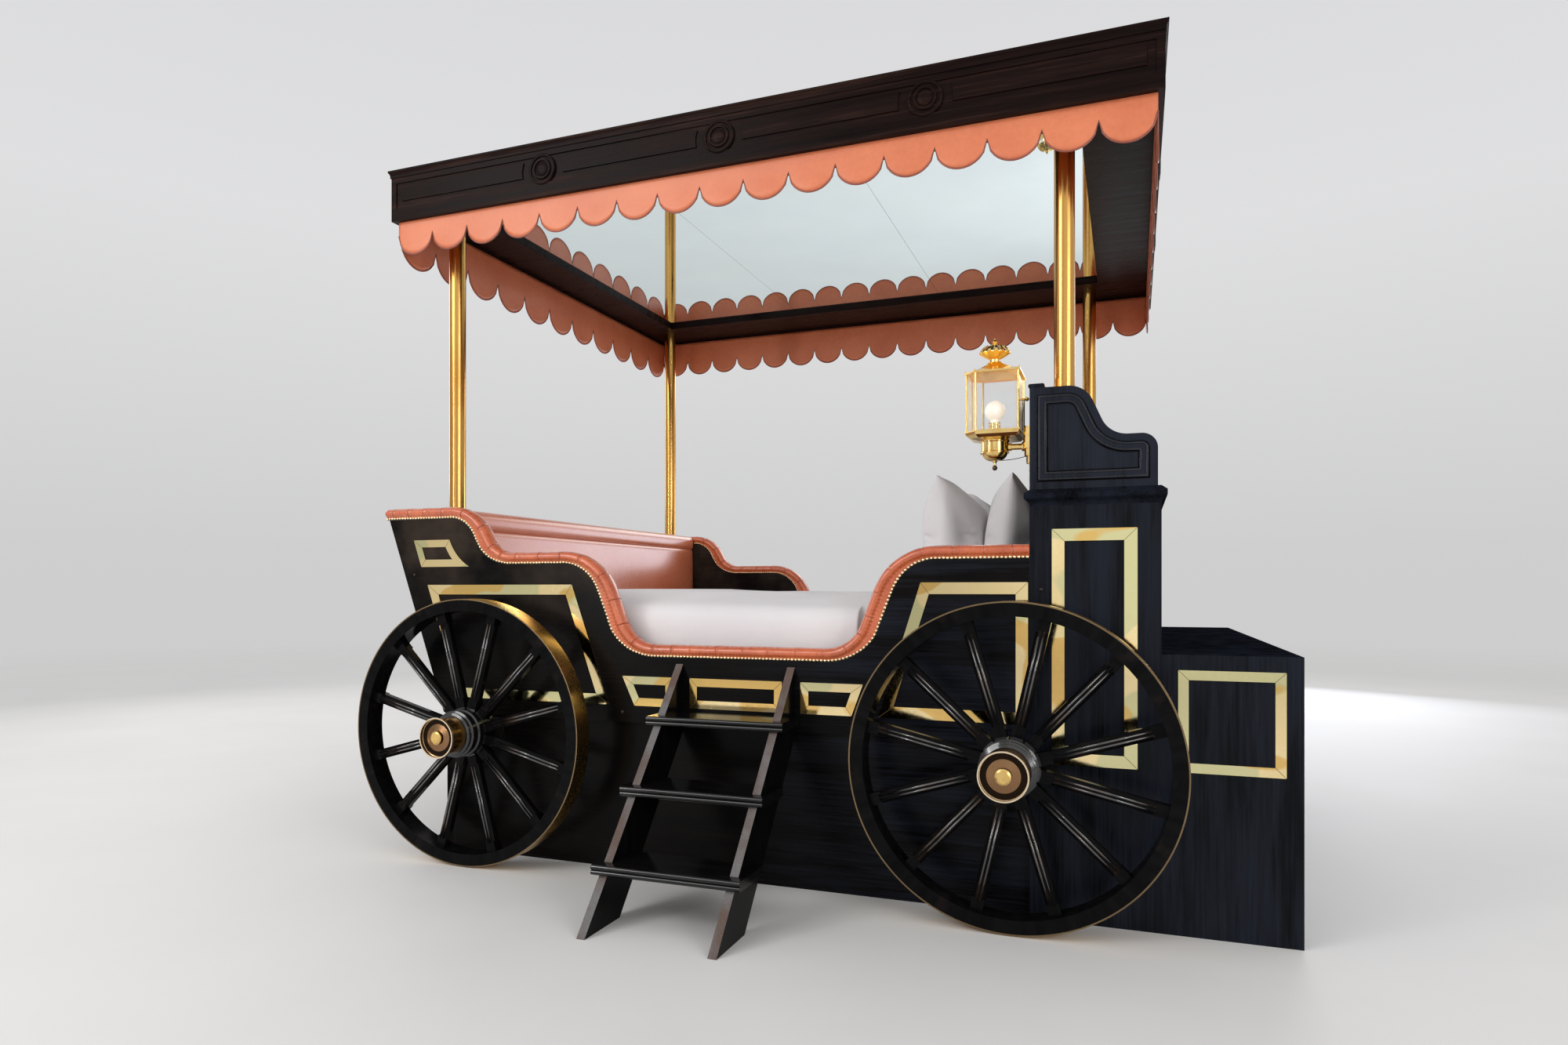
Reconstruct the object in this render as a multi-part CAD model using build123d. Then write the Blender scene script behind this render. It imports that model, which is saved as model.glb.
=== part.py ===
from build123d import *
import os
from math import atan2, cos, radians, sin, tan

# Stagecoach-shaped four-post bed: a raked coach body on a plinth, a driver's seat,
# four turning wheels, steps and lamps on both sides and a canopy on brass posts.
# Millimetres. +X is forward, towards the driver's seat, +Y the coach's left, +Z up.
# The origin is on the floor, midway along the coach and on its centreline.

# Wheels and axles
WHEEL_RADIUS = 448.0
WHEEL_WIDTH = 70.0
WHEEL_FLOOR_GAP = 3.0
WHEEL_BODY_GAP = 96.0
TYRE_THICK = 4.0
RIM_DEPTH = 37.0
SPOKE_COUNT = 12
SPOKE_WIDTH = 34.0
SPOKE_THICK = 34.0
SPOKE_BURIED = 10.0
SPOKE_CHAMFER = 7.0
CHAMFER_STOP = 34.0
NAVE_RADIUS = 79.0
NAVE_NOSE = 62.0
NAVE_TAIL = 5.0
HUB_RADIUS = 58.0
HUB_LENGTH = 50.0
CUP_RADIUS = 66.0
CUP_FLARE = 6.0
CUP_DEPTH = 15.0
CUP_LIP = 4.0
CUP_RECESS = 12.0
DISC_RADIUS = 44.0
DISC_RISE = 4.0
AXLE_RADIUS = 18.0
AXLE_RUNNING = 0.5
AXLE_BEAM = 60.0
AXLE_DROP = 39.0
NUT_RADIUS = 21.0
NUT_LENGTH = 7.0
NUT_GAP = 5.0
SHOULDER_RADIUS = 34.0
SHOULDER_LENGTH = 12.0
SHOULDER_GAP = 6.0
REAR_AXLE_IN = 217.0
FRONT_AXLE_BACK = 37.0

# Body
BODY_WIDTH = 2032.0
BED_LENGTH = 2047.0
SIDE_THICK = 37.0
SIDE_TOP = 695.0
SIDE_MID = 528.0
SIDE_SILL = 218.0
RAKE_DEG = 19.5
REAR_DROP = (32.0, 287.0, 60.0)
DOOR_REAR = (504.0, 854.0, 69.0)
DOOR_FRONT = (608.0, 268.0, 69.0)
PLINTH_INSET = 19.0
PLINTH_THICK = 22.0
BEARER_WIDTH = 45.0
DECK_RISE = 110.0
DECK_THICK = 18.0
LEDGER_WIDTH = 45.0
REAR_THICK = 25.0
FOOT_SET = 8.0
FOOT_THICK = 19.0
FOOT_PAD = 20.0
FOOT_PAD_SIDE = 2.0
FOOT_PAD_TOP = 6.0
FOOT_PAD_ROUND = 8.0
REAR_CAP_THICK = 18.0
REAR_CAP_DROP = 17.0

# Leather roll along the top edges
ROLL_WIDTH = 60.0
ROLL_HEIGHT = 41.0
ROLL_END = 18.0
SOFT_GAP = 0.3

# Bedding
MATTRESS_HEIGHT = 283.0
MATTRESS_SIDE_GAP = 2.5
MATTRESS_END_GAP = 4.0
MATTRESS_ROUND = 45.0
PILLOW_WIDTH = 700.0
PILLOW_HEIGHT = 390.0
PILLOW_THICK = 120.0
PILLOW_ROUND = 45.0
PILLOW_LEAN = 12.0
PILLOW_PITCH = 150.0
PILLOW_BACK = 105.0
PILLOW_APART = 40.0

# Driver's seat and foot box
SEAT_DEPTH = 347.0
SEAT_BOX_RISE = 676.0
PANEL_THICK = 19.0
CORNICE_HEIGHT = 47.0
CORNICE_OUT = 15.0
CORNICE_COVE = 17.0
CORNICE_COVE_OUT = 11.0
CORNICE_FACE = 14.0
CORNICE_INSIDE = 45.0
SEAT_BOARD_THICK = 24.0
SEAT_RAIL_LEDGE = 3.0
SEAT_JOINT = 1.0
HEAD_THICK = 37.0
HEAD_RISE = 287.0
HEAD_CAP = 12.0
HEAD_CAP_OUT = 4.0
ARM_THICK = 30.0
ARM_TOP_LENGTH = 102.0
ARM_FRONT_RISE = 144.0
ARM_OGEE_LENGTH = 160.0
ARM_OGEE_DEG = 66.0
ARM_FRONT_INSET = 9.0
ARM_CORNER = 42.0
ARM_MOULD_IN = 27.0
ARM_MOULD_WIDTH = 17.0
ARM_MOULD_RISE = 5.0
FOOT_DEPTH = 341.0
FOOT_BOX_RISE = 265.0

# Canopy on its posts
POST_RADIUS = 30.0
POST_WALL = 3.0
POST_IN = 150.0
POST_ROLL_GAP = 1.5
FRONT_POST_IN = 85.0
REAR_FLANGE_LIP = 16.0
FRONT_FLANGE_LIP = 7.0
FLANGE_HEIGHT = 10.0
CANOPY_RISE = 1778.0
CANOPY_HEIGHT = 182.0
CANOPY_OVERHANG = 42.0
CANOPY_REAR = 216.0
CANOPY_FRONT = 18.0
FASCIA_THICK = 26.0
FASCIA_FACE = 17.0
CROWN_HEIGHT = 26.0
CROWN_STEP = 3.0
CROWN_FILLET = 6.0
FRIEZE_LOW = 45.0
FRIEZE_HIGH = 136.0
FRIEZE_END = 31.0
FRIEZE_MOULD = 25.0
FRIEZE_MOULD_TOP = 13.0
FRIEZE_DEEP = 4.0
ROSETTE_RADIUS = 52.0
ROSETTE_RISE = 6.0
ROSETTE_CLEAR = 82.0
SIDE_ROSETTES = 3
END_ROSETTES = 2
SOFFIT_RISE = 64.0
SOFFIT_THICK = 18.0
LEDGE_SIDE = 266.0
LEDGE_REAR = 185.0
LEDGE_FRONT = 214.0
MIRROR_THICK = 5.0
MIRROR_LAP = 12.0
MIRROR_SEAM = 1.0
MIRROR_PANES = 3
ROOF_THICK = 12.0
ROOF_DROP = 12.0
VALANCE_THICK = 4.0
VALANCE_TOP = 57.0
VALANCE_CUSP = 50.0
VALANCE_CUSP_OPEN = 3.0
SIDE_SCALLOPS = 17
END_SCALLOPS = 11

# Brass strips on the body
BRASS_THICK = 3.0
BRASS_WIDE = 34.0
BRASS_NARROW = 26.0
BRASS_BOX_IN = 41.0
BRASS_SEAT_IN = 61.0
BRASS_SEAT_RISE = 610.0
BRASS_BOX_DROP = 50.0
# Each frame on the side: where it is measured from, its corners ahead of that (upper rear, upper
# front, lower front, lower rear), its upper and lower edge above the body's foot, its strip's width
BRASS_FRAMES = [
    ("rear", (-70.0, 538.0, 682.0, 71.6), 457.0, 57.0, BRASS_WIDE),
    ("door", (-413.0, -226.5, -226.5, -367.0), 154.0, 57.0, BRASS_NARROW),
    ("door", (-165.5, 152.5, 152.5, -165.5), 154.0, 57.0, BRASS_NARROW),
    ("door", (213.5, 413.0, 377.0, 213.5), 154.0, 57.0, BRASS_NARROW),
    ("seat", (-312.0, -4.0, -4.0, -440.0), 461.0, 57.0, BRASS_WIDE),
]
# The small upper frame's corners: distance ahead of the rear foot, height above the body's foot;
# its front end is an arc through the last of them
BRASS_SMALL = [(112.0, 522.0), (-98.0, 522.0), (-132.0, 619.0), (27.0, 619.0), (61.0, 563.0)]

# Boarding steps
STEP_WIDTH = 409.0
STEP_TOP_RISE = 199.0
STEP_REACH = 584.0
STRINGER_THICK = 25.0
STRINGER_DEPTH = 140.0
STEP_SHIFT = -10.0
TREAD_THICK = 28.0
TREAD_NOSE = 40.0
TREAD_OVER = 20.0
TREAD_BEAD = 5.0
TREAD_NOTCH = 30.0
TREAD_BODY_GAP = 2.0
TREAD_COUNT = 3
TREAD_RISE = 186.0
TREAD_BELOW_TOP = 150.0

# Carriage lamps on the bed side of the headboard
LAMP_SIZE = 158.0
LAMP_CHAMFER = 32.0
LAMP_OFF_HEAD = 110.0
LAMP_IN = 98.0
LAMP_BASE_RISE = 181.0
LAMP_GLASS_HEIGHT = 169.0
LAMP_GLASS_THICK = 3.0
LAMP_PLATE = 4.0
LAMP_LIP = 3.0
LAMP_BAR = 3.5
LAMP_BACK_THICK = 2.0
LAMP_ROOF_WALL = 2.0
ROOF_RISE = 36.0
EAVES_BALL = 3.5
TRAY_DEPTH = 20.0
DRUM_RADIUS = 40.0
DRUM_DEPTH = 36.0
DRUM_BEAD = 2.5
BOWL_DEPTH = 22.0
FINIAL_BALL = 7.5
FINIAL_STEM = 4.0
NECK_RADIUS = 14.0
CAP_RADIUS = 46.0
CAP_HEIGHT = 64.0
CAP_SUNK = 6.0
CAP_PETALS = 14
PETAL_CUT = 6.0
PETAL_LEAN = 52.0
SOCKET_RADIUS = 16.0
SOCKET_HEIGHT = 30.0
BULB_RADIUS = 30.0
BULB_NECK = 12.0
ARM_DROP = 43.0
ARM_RADIUS = 9.0
ARM_COLLAR = 14.0
ARM_COLLAR_REACH = 31.0
BRACKET_TOP = 14.0
# Each step of the wall bracket from its top down: height, reach from the headboard, width
BRACKET_STEPS = ((18.0, 24.0, 42.0), (47.0, 26.0, 48.0), (21.0, 23.0, 38.0), (22.0, 18.0, 26.0))
STUD_RISE = 95.0
STUD_RADIUS = 3.0
STUD_BALL = 6.0
SLEEVE_RADIUS = 6.0
SLEEVE_RING = (8.0, 6.0)

# Places worked out from the sizes above
HALF_WIDTH = BODY_WIDTH / 2
INNER_HALF = HALF_WIDTH - SIDE_THICK
AXLE_Z = WHEEL_RADIUS + WHEEL_FLOOR_GAP
FLOOR_Z = AXLE_Z + AXLE_DROP
TOP_Z = FLOOR_Z + SIDE_TOP
MID_Z = FLOOR_Z + SIDE_MID
SILL_Z = FLOOR_Z + SIDE_SILL
DECK_Z = FLOOR_Z + DECK_RISE
RAKE_RUN = SIDE_TOP * tan(radians(RAKE_DEG))
OVERALL = ROLL_END + RAKE_RUN + BED_LENGTH + SEAT_DEPTH + FOOT_DEPTH
REAR_TOP_X = -OVERALL / 2 + ROLL_END
REAR_FOOT_X = REAR_TOP_X + RAKE_RUN
SEAT_X = REAR_FOOT_X + BED_LENGTH
SEAT_FRONT_X = SEAT_X + SEAT_DEPTH
FRONT_X = SEAT_FRONT_X + FOOT_DEPTH
SEAT_BOX_Z = FLOOR_Z + SEAT_BOX_RISE
SEAT_Z = SEAT_BOX_Z + CORNICE_HEIGHT
HEAD_Z = SEAT_Z + HEAD_RISE
FOOT_BOX_Z = FLOOR_Z + FOOT_BOX_RISE
FOOT_FACE_X = REAR_FOOT_X + FOOT_SET
CANOPY_Z = FLOOR_Z + CANOPY_RISE
CANOPY_TOP_Z = CANOPY_Z + CANOPY_HEIGHT
CANOPY_HALF = HALF_WIDTH + CANOPY_OVERHANG
CANOPY_REAR_X = REAR_FOOT_X - CANOPY_REAR
CANOPY_FRONT_X = SEAT_FRONT_X + CANOPY_FRONT
SOFFIT_Z = CANOPY_Z + SOFFIT_RISE
MIRROR_Z = SOFFIT_Z + SOFFIT_THICK
REAR_AXLE_X = REAR_FOOT_X + REAR_AXLE_IN
FRONT_AXLE_X = SEAT_X - FRONT_AXLE_BACK
WHEEL_IN_Y = HALF_WIDTH + WHEEL_BODY_GAP
WHEEL_OUT_Y = WHEEL_IN_Y + WHEEL_WIDTH
POST_Y = HALF_WIDTH - POST_IN
FOOT_ROLL_X = FOOT_FACE_X - FOOT_THICK / 2
REAR_POST_X = FOOT_ROLL_X - ROLL_WIDTH / 2 - POST_ROLL_GAP - POST_RADIUS
FRONT_POST_X = SEAT_X + FRONT_POST_IN
REAR_CAP_Z = TOP_Z - REAR_CAP_DROP
DOOR_MIDDLE_X = (REAR_FOOT_X + DOOR_REAR[1] + SEAT_X - DOOR_FRONT[0]) / 2
ROLL_INNER = HALF_WIDTH - SIDE_THICK / 2 - ROLL_WIDTH / 2
MATTRESS_HALF = min(INNER_HALF, ROLL_INNER) - MATTRESS_SIDE_GAP
AXLE_IN_Y = WHEEL_IN_Y - NAVE_TAIL - SHOULDER_GAP - SHOULDER_LENGTH
HUB_ROOT_Y = WHEEL_OUT_Y + NAVE_NOSE
CUP_FACE_Y = HUB_ROOT_Y + HUB_LENGTH + CUP_DEPTH
DISC_FACE_Y = CUP_FACE_Y - CUP_RECESS + DISC_RISE
SEAT_RAIL_X = FRONT_POST_X + POST_RADIUS + FRONT_FLANGE_LIP + SEAT_RAIL_LEDGE
CANOPY_MIDDLE_X = (CANOPY_REAR_X + CANOPY_FRONT_X) / 2
CANOPY_LENGTH = CANOPY_FRONT_X - CANOPY_REAR_X
CANOPY_IN_HALF = CANOPY_HALF - FASCIA_THICK
CANOPY_IN_REAR = CANOPY_REAR_X + FASCIA_THICK
CANOPY_IN_FRONT = CANOPY_FRONT_X - FASCIA_THICK
LAMP_X = SEAT_X - LAMP_OFF_HEAD
LAMP_Y = -HALF_WIDTH + LAMP_IN
LAMP_Z = SEAT_Z + LAMP_BASE_RISE


def block(x0, x1, y0, y1, z0, z1):
    """A plain board or beam between two corners."""
    middle = Pos((x0 + x1) / 2, (y0 + y1) / 2, (z0 + z1) / 2)
    return middle * Box(x1 - x0, y1 - y0, z1 - z0)


def side_slab(face, y0, y1):
    """A flat outline drawn in X and Z, made solid between two Y planes."""
    return extrude(Pos(0, y1, 0) * (Plane.XZ * face), y1 - y0)


def outline(points):
    return make_face(Polyline(*points, close=True))


def mitred_board(length, thick, height, section):
    """A moulded board along X, its outer side towards -Y, with mitred ends.

    The section's edges give the distance out from the board's inner face and the height.
    """
    face = make_face(Curve(children=section))
    board = Pos(-length / 2, 0, 0) * extrude(Plane.YZ * mirror(face, about=Plane.YZ), length)
    half = length / 2
    plan = outline([(-half, -thick), (half, -thick), (half - thick, 0), (thick - half, 0)])
    return board & extrude(plan, height)


def both_sides(shape):
    """The piece on the coach's right and its mirror image on the left."""
    return Compound(children=[*shape.solids(), *mirror(shape, about=Plane.XZ).solids()])


def rake_x(z):
    """Where the raked rear end lies at a height."""
    return REAR_FOOT_X - (z - FLOOR_Z) * tan(radians(RAKE_DEG))


def ogee(start, run, drop, angle):
    """An S curve with level ends: two like arcs joined by a straight, at most angle steep."""
    turn = radians(angle)
    across = 2 * sin(turn)
    down = 2 * (1 - cos(turn))
    height = abs(drop)
    straight = (height * across - run * down) / (across * sin(turn) - down * cos(turn))
    radius = (run - straight * cos(turn)) / across
    way = -1 if drop > 0 else 1
    first = JernArc(start, (1, 0), radius, way * angle)
    middle = Line(first @ 1, first @ 1 + (first % 1) * straight)
    last = JernArc(middle @ 1, middle % 1, radius, -way * angle)
    return [first, middle, last]


def edge_line(rear_x, front_x):
    """The line of the side's top edge, from the rear end to the driver's seat."""
    drop_in, drop_out, drop_deg = REAR_DROP
    door_in, door_out, door_deg = DOOR_REAR
    rise_in, rise_out, rise_deg = DOOR_FRONT
    # Each S curve: where it starts, where it ends, height there, its steepest angle, height after
    curves = [
        (REAR_FOOT_X + drop_in, REAR_FOOT_X + drop_out, TOP_Z, drop_deg, MID_Z),
        (REAR_FOOT_X + door_in, REAR_FOOT_X + door_out, MID_Z, door_deg, SILL_Z),
        (SEAT_X - rise_in, SEAT_X - rise_out, SILL_Z, rise_deg, MID_Z),
    ]
    edges = []
    last = Vector(rear_x, TOP_Z)
    for x0, x1, z0, angle, z1 in curves:
        edges.append(Line(last, (x0, z0)))
        edges += ogee((x0, z0), x1 - x0, z0 - z1, angle)
        last = edges[-1] @ 1
    edges.append(Line(last, (front_x, MID_Z)))
    return edges


def side_panel():
    edges = edge_line(REAR_TOP_X, SEAT_X)
    edges.append(Line(edges[-1] @ 1, (SEAT_X, FLOOR_Z)))
    edges.append(Line((SEAT_X, FLOOR_Z), (REAR_FOOT_X, FLOOR_Z)))
    edges.append(Line((REAR_FOOT_X, FLOOR_Z), (REAR_TOP_X, TOP_Z)))
    return side_slab(make_face(Curve(children=edges)), -HALF_WIDTH, -INNER_HALF)


def roll_profile():
    """The padded roll's section: straight flanks under a half round."""
    half = ROLL_WIDTH / 2
    flank = ROLL_HEIGHT - half
    base = Polyline((-half, flank), (-half, 0), (half, 0), (half, flank))
    return make_face(base + ThreePointArc((half, flank), (0, ROLL_HEIGHT), (-half, flank)))


def edge_roll():
    edges = edge_line(REAR_TOP_X - ROLL_END, SEAT_X - SOFT_GAP)
    middle_y = -HALF_WIDTH + SIDE_THICK / 2
    path = Pos(0, middle_y, SOFT_GAP) * (Plane.XZ * Curve(children=edges))
    wire = Wire(path.edges())
    start = Plane(origin=wire @ 0, x_dir=(0, 1, 0), z_dir=wire % 0)
    return sweep(start * roll_profile(), path=wire)


def foot_roll():
    reach = ROLL_INNER - SOFT_GAP
    start = Plane(origin=(FOOT_ROLL_X, -reach, TOP_Z + SOFT_GAP), x_dir=(-1, 0, 0), z_dir=(0, 1, 0))
    return extrude(start * roll_profile(), 2 * reach)


def plinth():
    half = HALF_WIDTH - PLINTH_INSET
    outer = block(REAR_FOOT_X, SEAT_X, -half, half, 0, FLOOR_Z)
    wall = PLINTH_THICK
    inner = block(REAR_FOOT_X + wall, SEAT_X - wall, -half + wall, half - wall, 0, FLOOR_Z)
    bearer = block(REAR_FOOT_X, SEAT_X, -BEARER_WIDTH / 2, BEARER_WIDTH / 2, 0, FLOOR_Z)
    shell = outer - inner + bearer
    for x in (REAR_AXLE_X, FRONT_AXLE_X):
        shell -= axle_beam(x)
    return shell


def axle_beam(x):
    half = AXLE_BEAM / 2
    front = min(x + half, SEAT_X)
    return block(x - half, front, -AXLE_IN_Y, AXLE_IN_Y, AXLE_Z - half, AXLE_Z + half)


def turned(points, x):
    """A turned piece on a right wheel's axis: points are distance out from the middle, radius."""
    face = make_face(Polyline(*[(radius, out) for out, radius in points], close=True))
    axis_plane = Plane(origin=(x, 0, AXLE_Z), x_dir=(1, 0, 0), z_dir=(0, 0, -1))
    return revolve(axis_plane * face, axis=Axis((x, 0, AXLE_Z), (0, -1, 0)))


def axle(x):
    """A square beam with a round stub at each end, on which the wheel turns."""
    shoulder = AXLE_IN_Y + SHOULDER_LENGTH
    tip = DISC_FACE_Y + NUT_GAP
    stub = turned([
        (AXLE_IN_Y, 0), (AXLE_IN_Y, SHOULDER_RADIUS), (shoulder, SHOULDER_RADIUS),
        (shoulder, AXLE_RADIUS), (tip, AXLE_RADIUS), (tip, 0)], x)
    return axle_beam(x) + stub + mirror(stub, about=Plane.XZ)


def axle_nut(x):
    """The domed nut on the right-hand end of an axle."""
    foot = DISC_FACE_Y + NUT_GAP
    edge = foot + NUT_LENGTH / 2
    face = foot + NUT_LENGTH
    return turned([
        (foot, 0), (foot, NUT_RADIUS), (edge, NUT_RADIUS), (face, NUT_RADIUS * 0.75), (face, 0)], x)


def wheel(x, phase):
    rim_out = WHEEL_RADIUS - TYRE_THICK
    rim_in = rim_out - RIM_DEPTH
    rim = turned([
        (WHEEL_IN_Y, rim_in), (WHEEL_IN_Y, rim_out), (WHEEL_OUT_Y, rim_out), (WHEEL_OUT_Y, rim_in)], x)
    bore = AXLE_RADIUS + AXLE_RUNNING
    # The nave's steps towards its nose: share of the nose's length, share of the nave's radius
    steps_out = [(0.10, 1.0), (0.16, 0.93), (0.42, 0.93), (0.48, 0.98), (0.60, 0.98), (0.66, 0.88),
                 (0.74, 0.92), (0.84, 0.92), (0.90, 0.82), (1.0, 0.82)]
    nave_line = [(WHEEL_IN_Y - NAVE_TAIL, bore), (WHEEL_IN_Y - NAVE_TAIL, NAVE_RADIUS)]
    nave_line += [(WHEEL_OUT_Y + NAVE_NOSE * out, NAVE_RADIUS * share) for out, share in steps_out]
    nave = turned(nave_line + [(HUB_ROOT_Y, bore)], x)
    first = NAVE_RADIUS - SPOKE_BURIED
    last = rim_in + SPOKE_BURIED
    half_width = SPOKE_WIDTH / 2
    half_thick = SPOKE_THICK / 2
    spoke = block(first, last, -half_thick, half_thick, -half_width, half_width)
    waist = block(
        NAVE_RADIUS + CHAMFER_STOP, rim_in - CHAMFER_STOP, -half_thick, half_thick, -half_width, half_width)
    thinned = chamfer(waist.edges().filter_by(Axis.X), SPOKE_CHAMFER)
    spoke = spoke - waist + thinned
    middle_y = -(WHEEL_IN_Y + WHEEL_OUT_Y) / 2
    body = rim + nave
    for k in range(SPOKE_COUNT):
        body += Pos(x, middle_y, AXLE_Z) * Rot(0, phase + 360 / SPOKE_COUNT * k, 0) * spoke
    return body


def wheel_trim(x):
    """The brass tyre and the brass hub collar with its flared, recessed cup."""
    tyre = turned([
        (WHEEL_IN_Y, WHEEL_RADIUS - TYRE_THICK), (WHEEL_IN_Y, WHEEL_RADIUS),
        (WHEEL_OUT_Y, WHEEL_RADIUS), (WHEEL_OUT_Y, WHEEL_RADIUS - TYRE_THICK)], x)
    bore = AXLE_RADIUS + AXLE_RUNNING
    flare = CUP_FACE_Y - CUP_DEPTH
    deep = CUP_FACE_Y - CUP_RECESS
    collar = turned([
        (HUB_ROOT_Y, bore), (HUB_ROOT_Y, HUB_RADIUS), (flare, HUB_RADIUS), (flare + CUP_FLARE, CUP_RADIUS),
        (CUP_FACE_Y, CUP_RADIUS), (CUP_FACE_Y, CUP_RADIUS - CUP_LIP), (deep, CUP_RADIUS - CUP_LIP),
        (deep, DISC_RADIUS), (DISC_FACE_Y, NUT_RADIUS + DISC_RISE), (DISC_FACE_Y, bore)], x)
    return Compound(children=[*tyre.solids(), *collar.solids()])


def rear_panel():
    slant = REAR_THICK / cos(radians(RAKE_DEG))
    low = (rake_x(FLOOR_Z), FLOOR_Z)
    high = (rake_x(TOP_Z), TOP_Z)
    face = outline([low, high, (high[0] + slant, TOP_Z), (low[0] + slant, FLOOR_Z)])
    return side_slab(face, -INNER_HALF, INNER_HALF)


def rear_cap():
    """The board over the rear box, which the rear posts stand on."""
    slant = REAR_THICK / cos(radians(RAKE_DEG))
    low = REAR_CAP_Z - REAR_CAP_THICK
    inner_x = FOOT_FACE_X - FOOT_THICK
    face = outline([
        (rake_x(low) + slant, low), (rake_x(REAR_CAP_Z) + slant, REAR_CAP_Z),
        (inner_x, REAR_CAP_Z), (inner_x, low)])
    return side_slab(face, -INNER_HALF, INNER_HALF)


def footboard():
    return block(FOOT_FACE_X - FOOT_THICK, FOOT_FACE_X, -INNER_HALF, INNER_HALF, DECK_Z, TOP_Z)


def foot_pad():
    pad = block(
        FOOT_FACE_X + SOFT_GAP, FOOT_FACE_X + FOOT_PAD, FOOT_PAD_SIDE - INNER_HALF,
        INNER_HALF - FOOT_PAD_SIDE, DECK_Z + SOFT_GAP, TOP_Z - FOOT_PAD_TOP)
    return fillet(pad.edges().filter_by(Axis.Y).group_by(Axis.X)[-1], FOOT_PAD_ROUND)


def deck():
    slant = REAR_THICK / cos(radians(RAKE_DEG))
    rear = rake_x(FLOOR_Z) + slant
    board = block(rear, SEAT_X, -INNER_HALF, INNER_HALF, DECK_Z - DECK_THICK, DECK_Z)
    low = DECK_Z - DECK_THICK
    frame = block(rear, SEAT_X, -INNER_HALF, INNER_HALF, FLOOR_Z, low)
    for side in (-1, 1):
        y0, y1 = sorted((side * BEARER_WIDTH / 2, side * (INNER_HALF - LEDGER_WIDTH)))
        frame -= block(rear + LEDGER_WIDTH, SEAT_X - LEDGER_WIDTH, y0, y1, FLOOR_Z, low)
    return board + frame


def mattress():
    rear = FOOT_FACE_X + FOOT_PAD + MATTRESS_END_GAP
    front = SEAT_X - MATTRESS_END_GAP
    pad = block(
        rear, front, -MATTRESS_HALF, MATTRESS_HALF, DECK_Z + SOFT_GAP, DECK_Z + MATTRESS_HEIGHT)
    pad = fillet(pad.edges().filter_by(Axis.Z), MATTRESS_ROUND)
    return fillet(pad.faces().sort_by(Axis.Z)[-1].edges(), MATTRESS_ROUND * 0.8)


def pillow(side, row):
    """side is -1 on the coach's right and 1 on its left; row 0 leans on the headboard."""
    form = Box(PILLOW_THICK, PILLOW_WIDTH, PILLOW_HEIGHT)
    form = fillet(form.edges(), PILLOW_ROUND)
    lean = radians(PILLOW_LEAN)
    high = PILLOW_HEIGHT / 2 - PILLOW_ROUND
    deep = PILLOW_THICK / 2 - PILLOW_ROUND
    lift = high * cos(lean) + deep * sin(lean) + PILLOW_ROUND
    x = SEAT_X - CORNICE_OUT - PILLOW_BACK - PILLOW_PITCH * row
    y = side * (PILLOW_WIDTH + PILLOW_APART) / 2
    z = DECK_Z + MATTRESS_HEIGHT + SOFT_GAP + lift
    return Pos(x, y, z) * Rot(0, PILLOW_LEAN, 0) * form


def seat_box():
    wall = PANEL_THICK
    outer = block(SEAT_X, SEAT_FRONT_X, -HALF_WIDTH, HALF_WIDTH, 0, SEAT_BOX_Z)
    return outer - block(
        SEAT_X + wall, SEAT_FRONT_X - wall, -HALF_WIDTH + wall, HALF_WIDTH - wall, 0, SEAT_BOX_Z)


def seat_cornice():
    """A moulded frame round the top of the seat box: a cove under a nose with a sloping top."""
    edge = CORNICE_INSIDE
    cove = (edge + CORNICE_COVE_OUT, CORNICE_COVE)
    nose = edge + CORNICE_OUT
    nose_top = CORNICE_COVE + CORNICE_FACE + CORNICE_OUT - CORNICE_COVE_OUT
    hollow = (edge + CORNICE_COVE_OUT * 0.3, CORNICE_COVE * 0.65)
    section = [
        Line((0, 0), (edge, 0)),
        ThreePointArc((edge, 0), hollow, cove),
        Polyline(cove, (nose, CORNICE_COVE + CORNICE_OUT - CORNICE_COVE_OUT), (nose, nose_top),
                 (edge, CORNICE_HEIGHT), (0, CORNICE_HEIGHT), (0, 0))]
    thick = edge + CORNICE_OUT
    middle_x = (SEAT_X + SEAT_FRONT_X) / 2
    frame = []
    # Each side of the frame: its outer length, its turn about Z, the middle of its inner face
    for length, turn, x, y in (
            (SEAT_DEPTH + 2 * CORNICE_OUT, 0, middle_x, edge - HALF_WIDTH),
            (BODY_WIDTH + 2 * CORNICE_OUT, 90, SEAT_FRONT_X - edge, 0),
            (SEAT_DEPTH + 2 * CORNICE_OUT, 180, middle_x, HALF_WIDTH - edge),
            (BODY_WIDTH + 2 * CORNICE_OUT, 270, SEAT_X + edge, 0)):
        board = mitred_board(length, thick, CORNICE_HEIGHT, section)
        frame.append(Pos(x, y, SEAT_BOX_Z) * Rot(0, 0, turn) * board)
    return frame[0] + frame[1] + frame[2] + frame[3]


def seat_board():
    """Two boards with a joint between them: the rail that carries the front posts, and the seat."""
    half = HALF_WIDTH - CORNICE_INSIDE
    low = SEAT_Z - SEAT_BOARD_THICK
    rail = block(SEAT_X + CORNICE_INSIDE, SEAT_RAIL_X, -half, half, low, SEAT_Z)
    seat = block(SEAT_RAIL_X + SEAT_JOINT, SEAT_FRONT_X - CORNICE_INSIDE, -half, half, low, SEAT_Z)
    return Compound(children=[*rail.solids(), *seat.solids()])


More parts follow.
